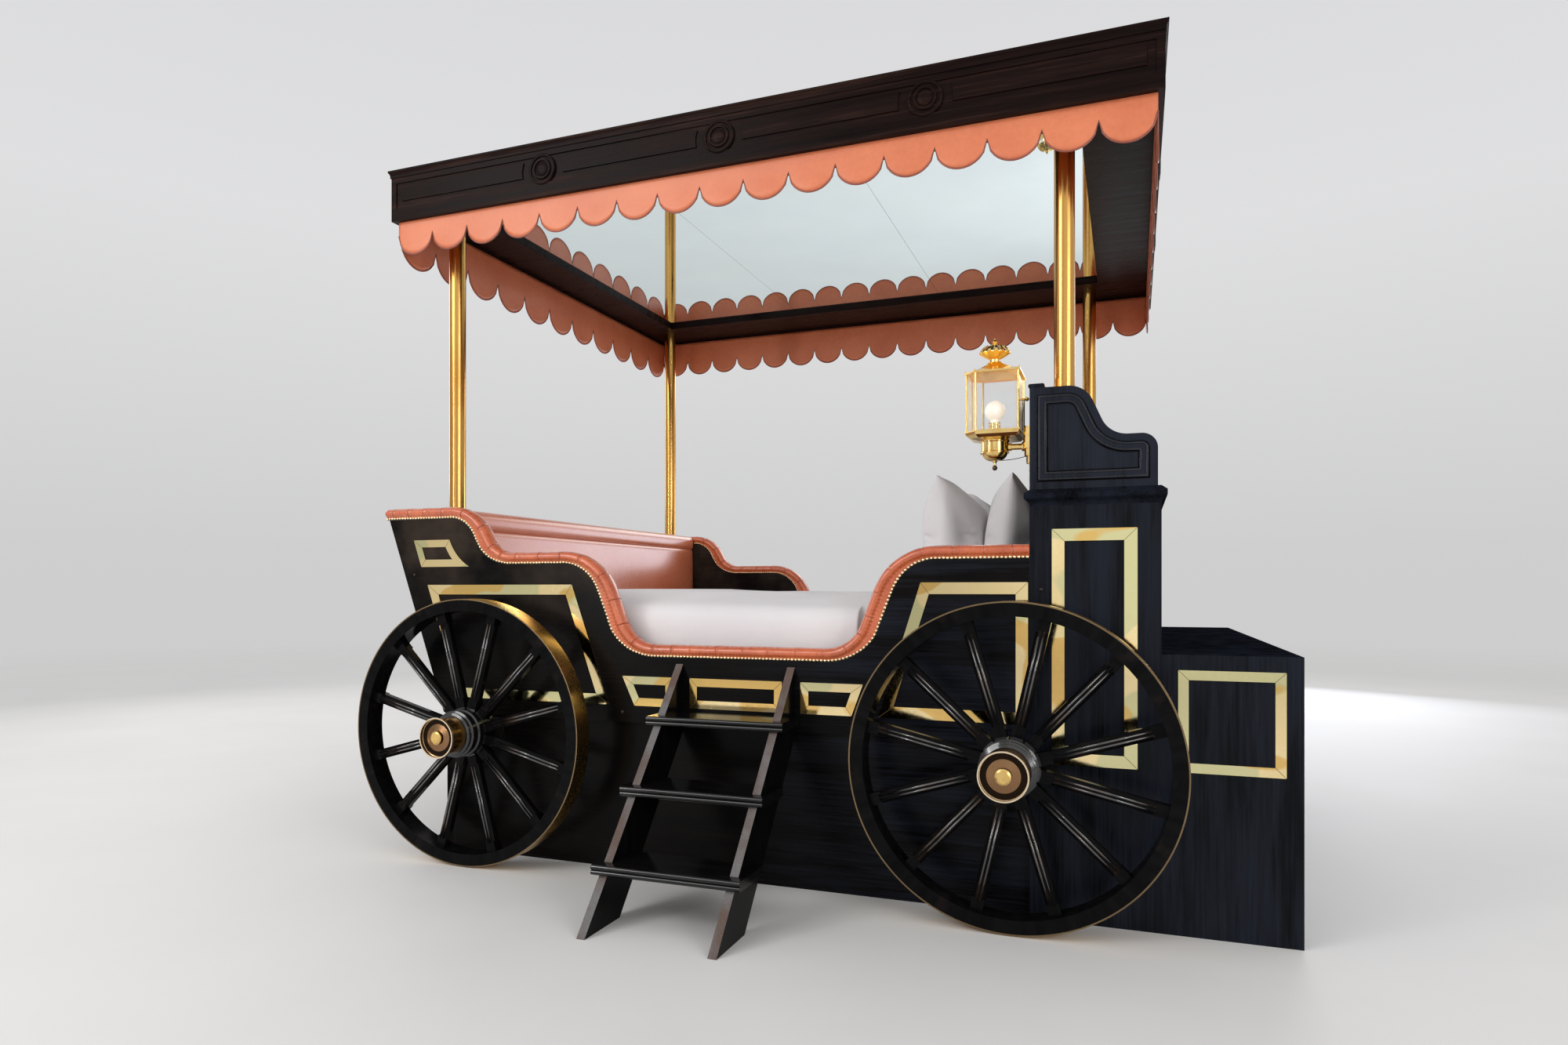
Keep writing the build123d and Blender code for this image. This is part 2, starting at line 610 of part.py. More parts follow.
def headboard():
    half = HALF_WIDTH - ARM_THICK
    board = block(SEAT_X, SEAT_X + HEAD_THICK, -half, half, SEAT_Z, HEAD_Z)
    cap = block(
        SEAT_X - HEAD_CAP_OUT, SEAT_X + HEAD_THICK + HEAD_CAP_OUT, -HALF_WIDTH, HALF_WIDTH,
        HEAD_Z, HEAD_Z + HEAD_CAP)
    return board + fillet(cap.edges().filter_by(Axis.Y), HEAD_CAP * 0.45)


def seat_arm():
    front = SEAT_FRONT_X - ARM_FRONT_INSET
    top_x = SEAT_X + ARM_TOP_LENGTH
    edges = [Line((SEAT_X, SEAT_Z), (SEAT_X, HEAD_Z))]
    edges.append(Line((SEAT_X, HEAD_Z), (top_x, HEAD_Z)))
    edges += ogee((top_x, HEAD_Z), ARM_OGEE_LENGTH, HEAD_Z - SEAT_Z - ARM_FRONT_RISE, ARM_OGEE_DEG)
    shoulder = (front - ARM_CORNER, SEAT_Z + ARM_FRONT_RISE)
    edges.append(Line(edges[-1] @ 1, shoulder))
    edges.append(JernArc(shoulder, (1, 0), ARM_CORNER, -90))
    edges.append(Line(edges[-1] @ 1, (front, SEAT_Z)))
    edges.append(Line((front, SEAT_Z), (SEAT_X, SEAT_Z)))
    face = make_face(Curve(children=edges))
    arm = side_slab(face, -HALF_WIDTH, -HALF_WIDTH + ARM_THICK)
    outer = offset(face, amount=-ARM_MOULD_IN, kind=Kind.INTERSECTION)
    inner = offset(face, amount=-ARM_MOULD_IN - ARM_MOULD_WIDTH, kind=Kind.INTERSECTION)
    return arm + side_slab(outer - inner, -HALF_WIDTH - ARM_MOULD_RISE, -HALF_WIDTH)


def foot_box():
    wall = PANEL_THICK
    outer = block(SEAT_FRONT_X, FRONT_X, -HALF_WIDTH, HALF_WIDTH, 0, FOOT_BOX_Z)
    return outer - block(
        SEAT_FRONT_X + wall, FRONT_X - wall, -HALF_WIDTH + wall, HALF_WIDTH - wall,
        0, FOOT_BOX_Z - wall)


def brass_frames():
    """Flat brass strips in closed frames on one side of the coach, each with mitred corners."""
    starts = {"rear": REAR_FOOT_X, "door": DOOR_MIDDLE_X, "seat": SEAT_X}
    faces = []
    for start, corners, high, low, width in BRASS_FRAMES:
        levels = (high, high, low, low)
        points = [(starts[start] + ahead, FLOOR_Z + level) for ahead, level in zip(corners, levels)]
        faces.append((outline(points), width))
    deep = FLOOR_Z - BRASS_BOX_DROP
    # The two frames on the boxes: rear edge, front edge, upper edge, strip's width
    for x0, x1, high, width in (
            (SEAT_X + BRASS_SEAT_IN, SEAT_FRONT_X - BRASS_SEAT_IN, FLOOR_Z + BRASS_SEAT_RISE, BRASS_WIDE),
            (SEAT_FRONT_X + BRASS_BOX_IN, FRONT_X - BRASS_BOX_IN, FOOT_BOX_Z - BRASS_BOX_IN, BRASS_NARROW)):
        faces.append((outline([(x0, high), (x1, high), (x1, deep), (x0, deep)]), width))
    small = [(REAR_FOOT_X + ahead, FLOOR_Z + level) for ahead, level in BRASS_SMALL]
    end = ThreePointArc(small[3], small[4], small[0])
    faces.append((make_face(Polyline(*small[:4]) + end), BRASS_NARROW))
    strips = []
    for face, width in faces:
        ring = face - offset(face, amount=-width, kind=Kind.INTERSECTION)
        strips += side_slab(ring, -HALF_WIDTH - BRASS_THICK, -HALF_WIDTH).solids()
    return Compound(children=strips)


def post_feet():
    """Where each post stands: X, Y, height of its foot, how far its flange reaches past it."""
    return [(x, y, foot_z, lip)
            for x, foot_z, lip in ((REAR_POST_X, REAR_CAP_Z, REAR_FLANGE_LIP),
                                   (FRONT_POST_X, SEAT_Z, FRONT_FLANGE_LIP))
            for y in (-POST_Y, POST_Y)]


def posts():
    ring = Circle(POST_RADIUS) - Circle(POST_RADIUS - POST_WALL)
    tubes = []
    for x, y, foot_z, _ in post_feet():
        tubes += extrude(Pos(x, y, foot_z) * ring, SOFFIT_Z - foot_z).solids()
    return Compound(children=tubes)


def post_flanges():
    rings = []
    for x, y, foot_z, lip in post_feet():
        ring = Circle(POST_RADIUS + lip) - Circle(POST_RADIUS)
        rings += extrude(Pos(x, y, foot_z) * ring, FLANGE_HEIGHT).solids()
    return Compound(children=rings)


def rosette():
    """A turned boss on the fascia, on the XY plane."""
    # The turned line: share of the boss's radius, share of its rise
    line = [(1.0, -0.9), (1.0, 0.4), (0.93, 0.75), (0.85, 0.75), (0.8, 0.0), (0.7, 0.0), (0.64, 1.0),
            (0.54, 1.0), (0.5, 0.2), (0.44, 0.2), (0.4, 0.7), (0.24, 0.95), (0, 1.0), (0, -0.9)]
    face = outline([(radius * ROSETTE_RADIUS, rise * ROSETTE_RISE) for radius, rise in line])
    return revolve(Plane.XZ * face, axis=Axis.Z)


def fascia(length, rosettes):
    """One canopy board: a crown moulding over a frieze of panels and turned bosses in a sunk band."""
    crown = CANOPY_HEIGHT - CROWN_HEIGHT
    step = FASCIA_FACE + CROWN_STEP
    cove_low = (step, crown + CROWN_FILLET)
    cove_high = (FASCIA_THICK, CANOPY_HEIGHT - CROWN_FILLET)
    hollow = (step + (FASCIA_THICK - step) * 0.3, (cove_low[1] + cove_high[1]) / 2 + 1)
    section = [
        Polyline((0, 0), (FASCIA_FACE, 0), (FASCIA_FACE, crown), (step, crown), cove_low),
        ThreePointArc(cove_low, hollow, cove_high),
        Polyline(cove_high, (FASCIA_THICK, CANOPY_HEIGHT), (0, CANOPY_HEIGHT), (0, 0))]
    board = mitred_board(length, FASCIA_THICK, CANOPY_HEIGHT, section)
    floor = FRIEZE_DEEP - FASCIA_FACE
    half = length / 2 - FRIEZE_END
    band = block(-half, half, -FASCIA_FACE, floor, FRIEZE_LOW, FRIEZE_HIGH)
    panels = block(
        FRIEZE_MOULD - half, half - FRIEZE_MOULD, -FASCIA_FACE, floor, FRIEZE_LOW + FRIEZE_MOULD,
        FRIEZE_HIGH - FRIEZE_MOULD_TOP)
    upright = Rot(90, 0, 0)
    places = [Pos(length * ((k + 1) / (rosettes + 1) - 0.5), -FASCIA_FACE, (FRIEZE_LOW + FRIEZE_HIGH) / 2)
              for k in range(rosettes)]
    for place in places:
        panels -= place * upright * Cylinder(ROSETTE_CLEAR, 4 * FRIEZE_DEEP)
    board -= band - panels
    for place in places:
        board += place * upright * rosette()
    return board


def soffit():
    board = block(
        CANOPY_IN_REAR, CANOPY_IN_FRONT, -CANOPY_IN_HALF, CANOPY_IN_HALF, SOFFIT_Z, MIRROR_Z)
    return board - block(
        CANOPY_IN_REAR + LEDGE_REAR, CANOPY_IN_FRONT - LEDGE_FRONT, -CANOPY_IN_HALF + LEDGE_SIDE,
        CANOPY_IN_HALF - LEDGE_SIDE, SOFFIT_Z, MIRROR_Z)


def mirror_ceiling():
    rear = CANOPY_IN_REAR + LEDGE_REAR - MIRROR_LAP
    front = CANOPY_IN_FRONT - LEDGE_FRONT + MIRROR_LAP
    half = CANOPY_IN_HALF - LEDGE_SIDE + MIRROR_LAP
    pane = (front - rear - MIRROR_SEAM * (MIRROR_PANES - 1)) / MIRROR_PANES
    panes = []
    for k in range(MIRROR_PANES):
        x0 = rear + k * (pane + MIRROR_SEAM)
        panes.append(block(x0, x0 + pane, -half, half, MIRROR_Z, MIRROR_Z + MIRROR_THICK))
    return Compound(children=panes)


def roof_panel():
    top = CANOPY_TOP_Z - ROOF_DROP
    return block(
        CANOPY_IN_REAR, CANOPY_IN_FRONT, -CANOPY_IN_HALF, CANOPY_IN_HALF, top - ROOF_THICK, top)


def valance(length, scallops):
    """A hanging leather strip along X with a scalloped hem, its outer face at Y 0."""
    pitch = length / scallops
    start = -length / 2
    cusp = -VALANCE_CUSP
    edges = [Line((start, cusp), (start, VALANCE_TOP)), Line((start, VALANCE_TOP), (-start, VALANCE_TOP))]
    edges.append(Line((-start, VALANCE_TOP), (-start, cusp)))
    lobe = pitch / 2 - VALANCE_CUSP_OPEN
    for k in range(scallops):
        x0 = start + k * pitch
        edges.append(ThreePointArc((x0, cusp), (x0 + pitch / 2, cusp - lobe), (x0 + pitch, cusp)))
    return side_slab(make_face(Curve(children=edges)), 0, VALANCE_THICK)


def steps():
    """The ladder on the coach's right: two stringers and the treads halved into them."""
    middle = DOOR_MIDDLE_X + STEP_SHIFT
    x0 = middle - STEP_WIDTH / 2
    x1 = middle + STEP_WIDTH / 2
    stringer_xs = (x0, x1 - STRINGER_THICK)
    top_z = FLOOR_Z + STEP_TOP_RISE
    foot_y = -HALF_WIDTH - STEP_REACH
    lean = atan2(top_z, STEP_REACH)
    back = STRINGER_DEPTH / sin(lean)
    rise = STRINGER_DEPTH / cos(lean)
    # The stringer's outline in Y and Z, cut level on the floor and upright against the body
    side = outline([
        (foot_y, 0), (-HALF_WIDTH, top_z), (-HALF_WIDTH, top_z - rise), (foot_y + back, 0)])
    # The top tread runs back to the body, and the others are like it
    first_top = top_z - TREAD_BELOW_TOP
    depth = STEP_REACH - first_top / tan(lean) + TREAD_NOSE - TREAD_BODY_GAP
    half = TREAD_THICK / 2
    section = [
        Line((depth, 0), (TREAD_BEAD, 0)),
        ThreePointArc((TREAD_BEAD, 0), (0, -half / 2), (TREAD_BEAD, -half)),
        ThreePointArc((TREAD_BEAD, -half), (0, -half * 1.5), (TREAD_BEAD, -TREAD_THICK)),
        Polyline((TREAD_BEAD, -TREAD_THICK), (depth, -TREAD_THICK), (depth, 0))]
    board = extrude(Plane.YZ * make_face(Curve(children=section)), STEP_WIDTH + 2 * TREAD_OVER)
    treads = []
    for k in range(TREAD_COUNT):
        top = first_top - TREAD_RISE * k
        front = foot_y + top / tan(lean) - TREAD_NOSE
        tread = Pos(x0 - TREAD_OVER, front, top) * board
        for x in stringer_xs:
            tread -= block(
                x, x + STRINGER_THICK, front + TREAD_NOSE + TREAD_NOTCH, front + depth,
                top - TREAD_THICK, top)
        treads.append(tread)
    stringers = []
    for x in stringer_xs:
        stringer = Pos(x, 0, 0) * extrude(Plane.YZ * side, STRINGER_THICK)
        for tread in treads:
            stringer -= tread
        stringers.append(stringer)
    return stringers, treads


def lamp_plan(grow):
    """The lamp's plan: a square whose two corners away from the headboard are cut off."""
    half = LAMP_SIZE / 2
    cut = half - LAMP_CHAMFER
    plan = outline([(half, -half), (half, half), (-cut, half), (-half, cut), (-half, -cut), (-cut, -half)])
    return offset(plan, amount=grow, kind=Kind.INTERSECTION) if grow else plan


def lamp_roof(grow):
    """The S-shaped roof's outer form at one wall: the plan's outline narrowing to the neck."""
    eaves = LAMP_GLASS_HEIGHT + LAMP_PLATE
    # Each level: share of the roof's height, share of the plan's size
    levels = [(0, 1.0), (0.25, 0.72), (0.53, 0.47), (0.8, 0.3), (1.0, 0.22)]
    return loft([Pos(0, 0, eaves + ROOF_RISE * up) * scale(lamp_plan(LAMP_LIP + grow), by=(share, share, 1))
                 for up, share in levels])


def lamp_cap():
    """The fluted cap on the roof's neck, with its spire."""
    # The turned line from the neck up: share of the cap's radius, share of its height
    low, mid_low, rim, mid_high, high = [
        (CAP_RADIUS * out, CAP_HEIGHT * up)
        for out, up in ((0.3, 0.14), (0.65, 0.27), (1.0, 0.43), (0.65, 0.75), (0.22, 0.85))]
    # The spire's line: radius, height over the cap's shoulder
    spire = [(5.0, 3.0), (7.0, 8.0), (3.0, 13.0), (0.0, 21.0)]
    line = [
        Polyline((0, -CAP_SUNK), (NECK_RADIUS, -CAP_SUNK), (NECK_RADIUS, 0), low),
        ThreePointArc(low, mid_low, rim),
        ThreePointArc(rim, mid_high, high),
        Polyline(high, *[(radius, high[1] + up) for radius, up in spire], (0, -CAP_SUNK))]
    cap = revolve(Plane.XZ * make_face(Curve(children=line)), axis=Axis.Z)
    edge = Pos(CAP_RADIUS, 0, rim[1])
    flute = edge * Pos(PETAL_CUT * 0.4, 0, 0) * Cylinder(PETAL_CUT, CAP_HEIGHT)
    crease = edge * Rot(0, -PETAL_LEAN, 0) * Pos(PETAL_CUT * 0.7, 0, 0) * Cylinder(PETAL_CUT, 2 * CAP_RADIUS)
    for k in range(CAP_PETALS):
        turn = Rot(0, 0, (k + 0.5) * 360 / CAP_PETALS)
        cap -= turn * crease
        cap -= turn * flute
    return cap


def lamp_drum():
    """The drum under the dish with its bead, ring, bowl and ball, its top at Z 0."""
    ring = DRUM_RADIUS + DRUM_BEAD
    bowl = DRUM_RADIUS - DRUM_BEAD
    low = -DRUM_DEPTH
    tip = low - BOWL_DEPTH
    line = [
        Polyline((0, DRUM_BEAD), (ring, DRUM_BEAD), (ring, -DRUM_BEAD), (DRUM_RADIUS, -2 * DRUM_BEAD),
                 (DRUM_RADIUS, low + 2 * DRUM_BEAD), (ring, low + DRUM_BEAD), (ring, low), (bowl, low)),
        ThreePointArc((bowl, low), (bowl * 0.77, low - BOWL_DEPTH * 0.68), (FINIAL_BALL, tip)),
        Polyline((FINIAL_BALL, tip), (FINIAL_STEM, tip - FINIAL_BALL), (FINIAL_STEM, tip - 2 * FINIAL_BALL),
                 (0, tip - 2 * FINIAL_BALL), (0, DRUM_BEAD))]
    drum = revolve(Plane.XZ * make_face(Curve(children=line)), axis=Axis.Z)
    return drum + Pos(0, 0, tip - 2.8 * FINIAL_BALL) * Sphere(FINIAL_BALL)


def lamp_frame():
    """The lamp's brass: dish, drum and finial below, bars and back, and the hollow roof with its cap."""
    tall = LAMP_GLASS_HEIGHT
    plate = LAMP_PLATE
    half = LAMP_SIZE / 2
    # The dish under the plate: share of its depth, share of the plan's size
    dish = [(0, 1.0), (0.35, 0.97), (0.75, 0.84), (1.0, 0.55)]
    tray = loft([Pos(0, 0, -plate - TRAY_DEPTH * deep) * scale(lamp_plan(0), by=(share, share, 1))
                 for deep, share in dish], ruled=True)
    frame = Pos(0, 0, -plate) * extrude(lamp_plan(LAMP_LIP), plate) + tray
    frame += Pos(0, 0, -plate - TRAY_DEPTH) * lamp_drum()
    frame += extrude(Circle(SOCKET_RADIUS), SOCKET_HEIGHT)
    for corner in lamp_plan(-LAMP_BAR).vertices():
        frame += Pos(corner.X, corner.Y, tall / 2) * Cylinder(LAMP_BAR, tall)
    back = half - LAMP_BAR
    frame += block(back - LAMP_BACK_THICK, back, -back, back, 0, tall)
    eaves = extrude(lamp_plan(LAMP_LIP), plate) - extrude(lamp_plan(-2 * LAMP_BAR), plate)
    frame += Pos(0, 0, tall) * eaves
    frame += lamp_roof(0) - Pos(0, 0, -LAMP_ROOF_WALL) * lamp_roof(-2 * LAMP_BAR)
    for corner in lamp_plan(0).vertices():
        frame += Pos(corner.X, corner.Y, tall + plate + EAVES_BALL / 2) * Sphere(EAVES_BALL)
    frame += Pos(0, 0, tall + plate + ROOF_RISE) * lamp_cap()
    return Pos(LAMP_X, LAMP_Y, LAMP_Z) * frame


def lamp_glass():
    """The glass round the five open sides, bent at the corners; the back is brass."""
    outer = LAMP_BAR * 2
    pane = lamp_plan(-outer) - lamp_plan(-outer - LAMP_GLASS_THICK)
    back = LAMP_SIZE / 2 - outer
    pane -= Pos(back, 0) * Rectangle(3 * LAMP_GLASS_THICK, 2 * (back - LAMP_GLASS_THICK))
    return Pos(LAMP_X, LAMP_Y, LAMP_Z) * extrude(pane, LAMP_GLASS_HEIGHT)


def lamp_bulb():
    """A globe on a short neck in the lamp's socket."""
    neck = Pos(0, 0, SOCKET_HEIGHT + BULB_NECK / 2) * Cylinder(BULB_NECK, BULB_NECK)
    globe = Pos(0, 0, SOCKET_HEIGHT + BULB_NECK / 2 + BULB_RADIUS) * Sphere(BULB_RADIUS)
    return Pos(LAMP_X, LAMP_Y, LAMP_Z) * (neck + globe)


def lamp_bracket():
    """The stepped bracket on the headboard with the arm to the drum, and the upper stud."""
    arm_z = LAMP_Z - ARM_DROP
    drum = LAMP_X + DRUM_RADIUS
    reach = SEAT_X - drum
    along = Rot(0, 90, 0)
    bracket = Pos(drum + reach / 2, LAMP_Y, arm_z) * along * Cylinder(ARM_RADIUS, reach)
    # The arm's two collars: where they start, length, radius
    for x, long, radius in ((SEAT_X - ARM_COLLAR_REACH, ARM_COLLAR_REACH, ARM_COLLAR),
                            (drum, ARM_RADIUS, ARM_RADIUS + DRUM_BEAD)):
        bracket += Pos(x + long / 2, LAMP_Y, arm_z) * along * Cylinder(radius, long)
    top = LAMP_Z + BRACKET_TOP
    for height, out, wide in BRACKET_STEPS:
        step = block(SEAT_X - out, SEAT_X, LAMP_Y - wide / 2, LAMP_Y + wide / 2, top - height, top)
        bracket += chamfer(step.edges().filter_by(Axis.Z).group_by(Axis.X)[0], out / 4)
        top -= height
    back = LAMP_X + LAMP_SIZE / 2 - LAMP_BAR
    gap = SEAT_X - back
    stud = Pos(back + gap / 2, LAMP_Y, LAMP_Z + STUD_RISE) * along * (
        Cylinder(STUD_RADIUS, gap) + Sphere(STUD_BALL)
    )
    return Compound(children=[*bracket.solids(), *stud.solids()])


def wire_sleeve():
    """The white tube that brings the lamp's wire up from the cornice, on a ring at its foot."""
    top = LAMP_Z + BRACKET_TOP - sum(height for height, _, _ in BRACKET_STEPS)
    place = Pos(SEAT_X - SLEEVE_RADIUS - SOFT_GAP, LAMP_Y, 0)
    tube = place * Pos(0, 0, (SEAT_Z + top) / 2) * Cylinder(SLEEVE_RADIUS, top - SEAT_Z)
    ring_radius, ring_height = SLEEVE_RING
    ring = place * Pos(0, 0, SEAT_Z + ring_height / 2) * Cylinder(ring_radius, ring_height)
    ring &= block(0, SEAT_X - SOFT_GAP, 2 * LAMP_Y, 0, SEAT_Z, top)
    return tube + ring


def build_all():
    right_side = side_panel()
    right_roll = edge_roll()
    right_arm = seat_arm()
    right_brass = brass_frames()
    right_frame = lamp_frame()
    right_glass = lamp_glass()
    stringers, treads = steps()
    nodes = {
        "plinth": plinth(),
        "deck": deck(),
        "side_panel_right": right_side,
        "side_panel_left": mirror(right_side, about=Plane.XZ),
        "rear_panel": rear_panel(),
        "rear_cap": rear_cap(),
        "footboard": footboard(),
        "foot_pad": foot_pad(),
        "foot_roll": foot_roll(),
        "edge_roll_right": right_roll,
        "edge_roll_left": mirror(right_roll, about=Plane.XZ),
        "brass_frames_right": right_brass,
        "brass_frames_left": mirror(right_brass, about=Plane.XZ),
        "mattress": mattress(),
        "seat_box": seat_box(),
        "seat_cornice": seat_cornice(),
        "seat_board": seat_board(),
        "headboard": headboard(),
        "seat_arm_right": right_arm,
        "seat_arm_left": mirror(right_arm, about=Plane.XZ),
        "foot_box": foot_box(),
        "posts": posts(),
        "post_flanges": post_flanges(),
        "soffit": soffit(),
        "mirror_ceiling": mirror_ceiling(),
        "roof_panel": roof_panel(),
        "step_stringers": both_sides(Compound(children=stringers)),
        "step_treads": both_sides(Compound(children=treads)),
        "lamp_frame_right": right_frame,
        "lamp_frame_left": mirror(right_frame, about=Plane.XZ),
        "lamp_glass_right": right_glass,
        "lamp_glass_left": mirror(right_glass, about=Plane.XZ),
        "lamp_bulbs": both_sides(lamp_bulb()),
        "lamp_brackets": both_sides(lamp_bracket()),
        "wire_sleeves": both_sides(wire_sleeve()),
    }
    long_side = (CANOPY_LENGTH, SIDE_SCALLOPS, SIDE_ROSETTES)
    short_side = (2 * CANOPY_HALF, END_SCALLOPS, END_ROSETTES)
    # Each canopy side: name, its length, scallops and bosses, turn about Z, middle of its inner face
    canopy_sides = [
        ("right", long_side, 0, (CANOPY_MIDDLE_X, -CANOPY_IN_HALF)),
        ("front", short_side, 90, (CANOPY_IN_FRONT, 0)),
        ("left", long_side, 180, (CANOPY_MIDDLE_X, CANOPY_IN_HALF)),
        ("rear", short_side, 270, (CANOPY_IN_REAR, 0)),
    ]
    for name, (length, scallops, rosettes), turn, (x, y) in canopy_sides:
        place = Pos(x, y, CANOPY_Z) * Rot(0, 0, turn)
        nodes["fascia_" + name] = place * fascia(length, rosettes)
        hem = length - 2 * FASCIA_THICK
        if name in ("front", "rear"):
            hem -= 2 * VALANCE_THICK
        nodes["valance_" + name] = place * valance(hem, scallops)
    for side, word in ((-1, "right"), (1, "left")):
        nodes["pillow_back_" + word] = pillow(side, 0)
        nodes["pillow_front_" + word] = pillow(side, 1)
    # Each pair of wheels: name, axle's X, turn of its spokes
    nuts = []
    for name, x, phase in (("rear", REAR_AXLE_X, 15), ("front", FRONT_AXLE_X, 13)):
        nuts += axle_nut(x).solids()
        nodes["axle_" + name] = axle(x)
        spoked = wheel(x, phase)
        trim = wheel_trim(x)
        nodes["wheel_" + name + "_right"] = spoked
        nodes["wheel_" + name + "_left"] = mirror(spoked, about=Plane.XZ)
        nodes["wheel_trim_" + name + "_right"] = trim
        nodes["wheel_trim_" + name + "_left"] = mirror(trim, about=Plane.XZ)
    nodes["axle_nuts"] = both_sides(Compound(children=nuts))
    return nodes


os.makedirs("parts", exist_ok=True)
for node_name, shape in build_all().items():
    export_step(shape, "parts/" + node_name + ".step")
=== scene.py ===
import math
import random

import bmesh
import bpy
import numpy as np
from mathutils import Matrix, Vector, noise


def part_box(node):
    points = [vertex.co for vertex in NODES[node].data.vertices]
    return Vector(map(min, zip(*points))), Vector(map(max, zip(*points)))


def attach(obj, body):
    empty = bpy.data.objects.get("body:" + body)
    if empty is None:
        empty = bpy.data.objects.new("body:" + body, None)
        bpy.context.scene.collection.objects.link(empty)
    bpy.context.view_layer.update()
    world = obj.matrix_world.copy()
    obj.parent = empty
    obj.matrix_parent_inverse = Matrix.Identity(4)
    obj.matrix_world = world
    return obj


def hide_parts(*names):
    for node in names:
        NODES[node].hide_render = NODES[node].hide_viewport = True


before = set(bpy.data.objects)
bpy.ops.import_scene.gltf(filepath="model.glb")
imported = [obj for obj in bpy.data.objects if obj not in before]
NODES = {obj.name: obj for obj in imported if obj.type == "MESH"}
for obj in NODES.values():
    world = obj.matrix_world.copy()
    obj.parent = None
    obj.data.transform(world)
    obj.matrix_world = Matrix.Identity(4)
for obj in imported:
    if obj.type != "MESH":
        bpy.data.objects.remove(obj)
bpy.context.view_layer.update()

# Metres, in the coach's own frame: +X forward, +Y its left, +Z up.
scene = bpy.context.scene
chance = random.Random(7)

# Places read off the CAD parts
PLINTH_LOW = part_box("plinth")[0]
SIDE_LOW, SIDE_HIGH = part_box("side_panel_right")
ROLL_LOW, ROLL_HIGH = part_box("edge_roll_right")
FOOT_ROLL_LOW, FOOT_ROLL_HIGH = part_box("foot_roll")
PAD_LOW, PAD_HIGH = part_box("foot_pad")
BED_LOW, BED_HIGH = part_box("mattress")
LAMP_LOW, LAMP_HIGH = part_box("lamp_glass_right")
REAR_FOOT_X = PLINTH_LOW.x
SEAT_X = SIDE_HIGH.x
TOP_Z = SIDE_HIGH.z
BODY_Y = SIDE_LOW.y
INNER_Y = SIDE_HIGH.y

# The side's top edge: each S curve's start, end, fall and steepest angle
MID_DROP = 0.167
SILL_DROP = 0.31
EDGE_CURVES = (
    (REAR_FOOT_X + 0.032, REAR_FOOT_X + 0.287, MID_DROP, 60.0),
    (REAR_FOOT_X + 0.504, REAR_FOOT_X + 0.854, SILL_DROP, 69.0),
    (SEAT_X - 0.608, SEAT_X - 0.268, -SILL_DROP, 69.0),
)

# Leather rolls and nails
ROLL_STEP = 0.0012
ROLL_CENTRE = 0.018
ROLL_END = 0.012
TUCK_PITCH = 0.086
TUCK_DEPTH = 0.0034
TUCKS_DEEP = 1.45
TUCK_WIDTH = 0.002
NAIL_PITCH = 0.0119
NAIL_RADIUS = 0.005
NAIL_RISE = 0.0044
NAIL_DROP = -0.005
STEEP_MORE = 0.017
PUCKER = 0.0011
FOOT_ROLL_LAP = 0.033

# Valances
VALANCE_THICK = 0.0032
VALANCE_PLAIN = 0.107
SIDE_SCALLOPS = 17
END_SCALLOPS = 11
PIPING_RADIUS = 0.003
HEM_TUCK = 0.002

# Small trim on the seat's arms, the brass strips and the boards
BEAD_WIDE = 0.006
BEAD_HIGH = 0.0022
# The thin black strips beside the arms' beads are painted shade for grooves
GROOVE_SHADE_WIDE = 0.0052
GROOVE_SHADE_HIGH = 0.0003
GROOVE_SHADE_OFF = 0.0046
MITRE_WIDE = 0.0012
MITRE_PROUD = 0.00015
MITRE_LONGEST = 0.075
SCREW_RADIUS = 0.0062
SCREW_RISE = 0.0042
SCREWS = ((REAR_FOOT_X - 0.131, 0.984), (REAR_FOOT_X + 0.733, 0.524), (SEAT_X + 0.032, 0.93))

# Wheels: the trim's outer end, the brass collar and cup on it, and the spokes
HUB_DEPTH = 0.08
CUP_FROM = 0.0665
NAVE_REACH = 0.084
WHEEL_WIDE = 0.07
SPOKES = 12
SPOKE_PHASES = {"rear": 15.0, "front": 13.0}
SPOKE_FACE = 0.018
SPOKE_FROM = 0.118
SPOKE_TO = 0.378
SPOKE_BEAD = 0.0034
SPOKE_BEAD_OFF = 0.0055

# Bedding
BED_VOXEL = 0.02
BED_CROWN = 0.024
CROWN_WITHIN = 0.25
BED_INSET = 0.012
BED_ROUND = 0.055
COVER_END = 0.285
COVER_THICK = 0.032
FOOT_HUMP = 0.018
HUMP_FROM = -0.45
HUMP_OVER = 0.45
PRESSED_OVER = 0.1
PILLOW_CELL = 0.011
PILLOW_TALL = 0.474
PILLOW_LIFT = 0.018
PILLOW_SWELL = 0.03
PILLOW_FOOT = 0.02

# Lamps
FINIAL_DROP = 0.095
CANDLE_RING = 0.0125
CANDLE_RADIUS = 0.0062
STAY_RADIUS = 0.0011
STAY_SAG = 0.003
STAY_STEPS = 12


# Camera at the photograph's viewing angle, from its 2000 by 1333 frame
def make_camera():
    frame_width = 2000.0
    focal = 1191.1
    horizon_row = 752.1
    middle_row = 666.5
    data = bpy.data.cameras.new("view_camera")
    data.sensor_width = 36.0
    data.lens = focal / frame_width * data.sensor_width
    data.shift_y = (horizon_row - middle_row) / frame_width
    camera = bpy.data.objects.new("view_camera", data)
    camera.location = (1.0822, -3.7363, 0.93)
    camera.rotation_euler = (math.radians(90.0), 0.0, math.radians(20.413))
    scene.collection.objects.link(camera)
    scene.camera = camera


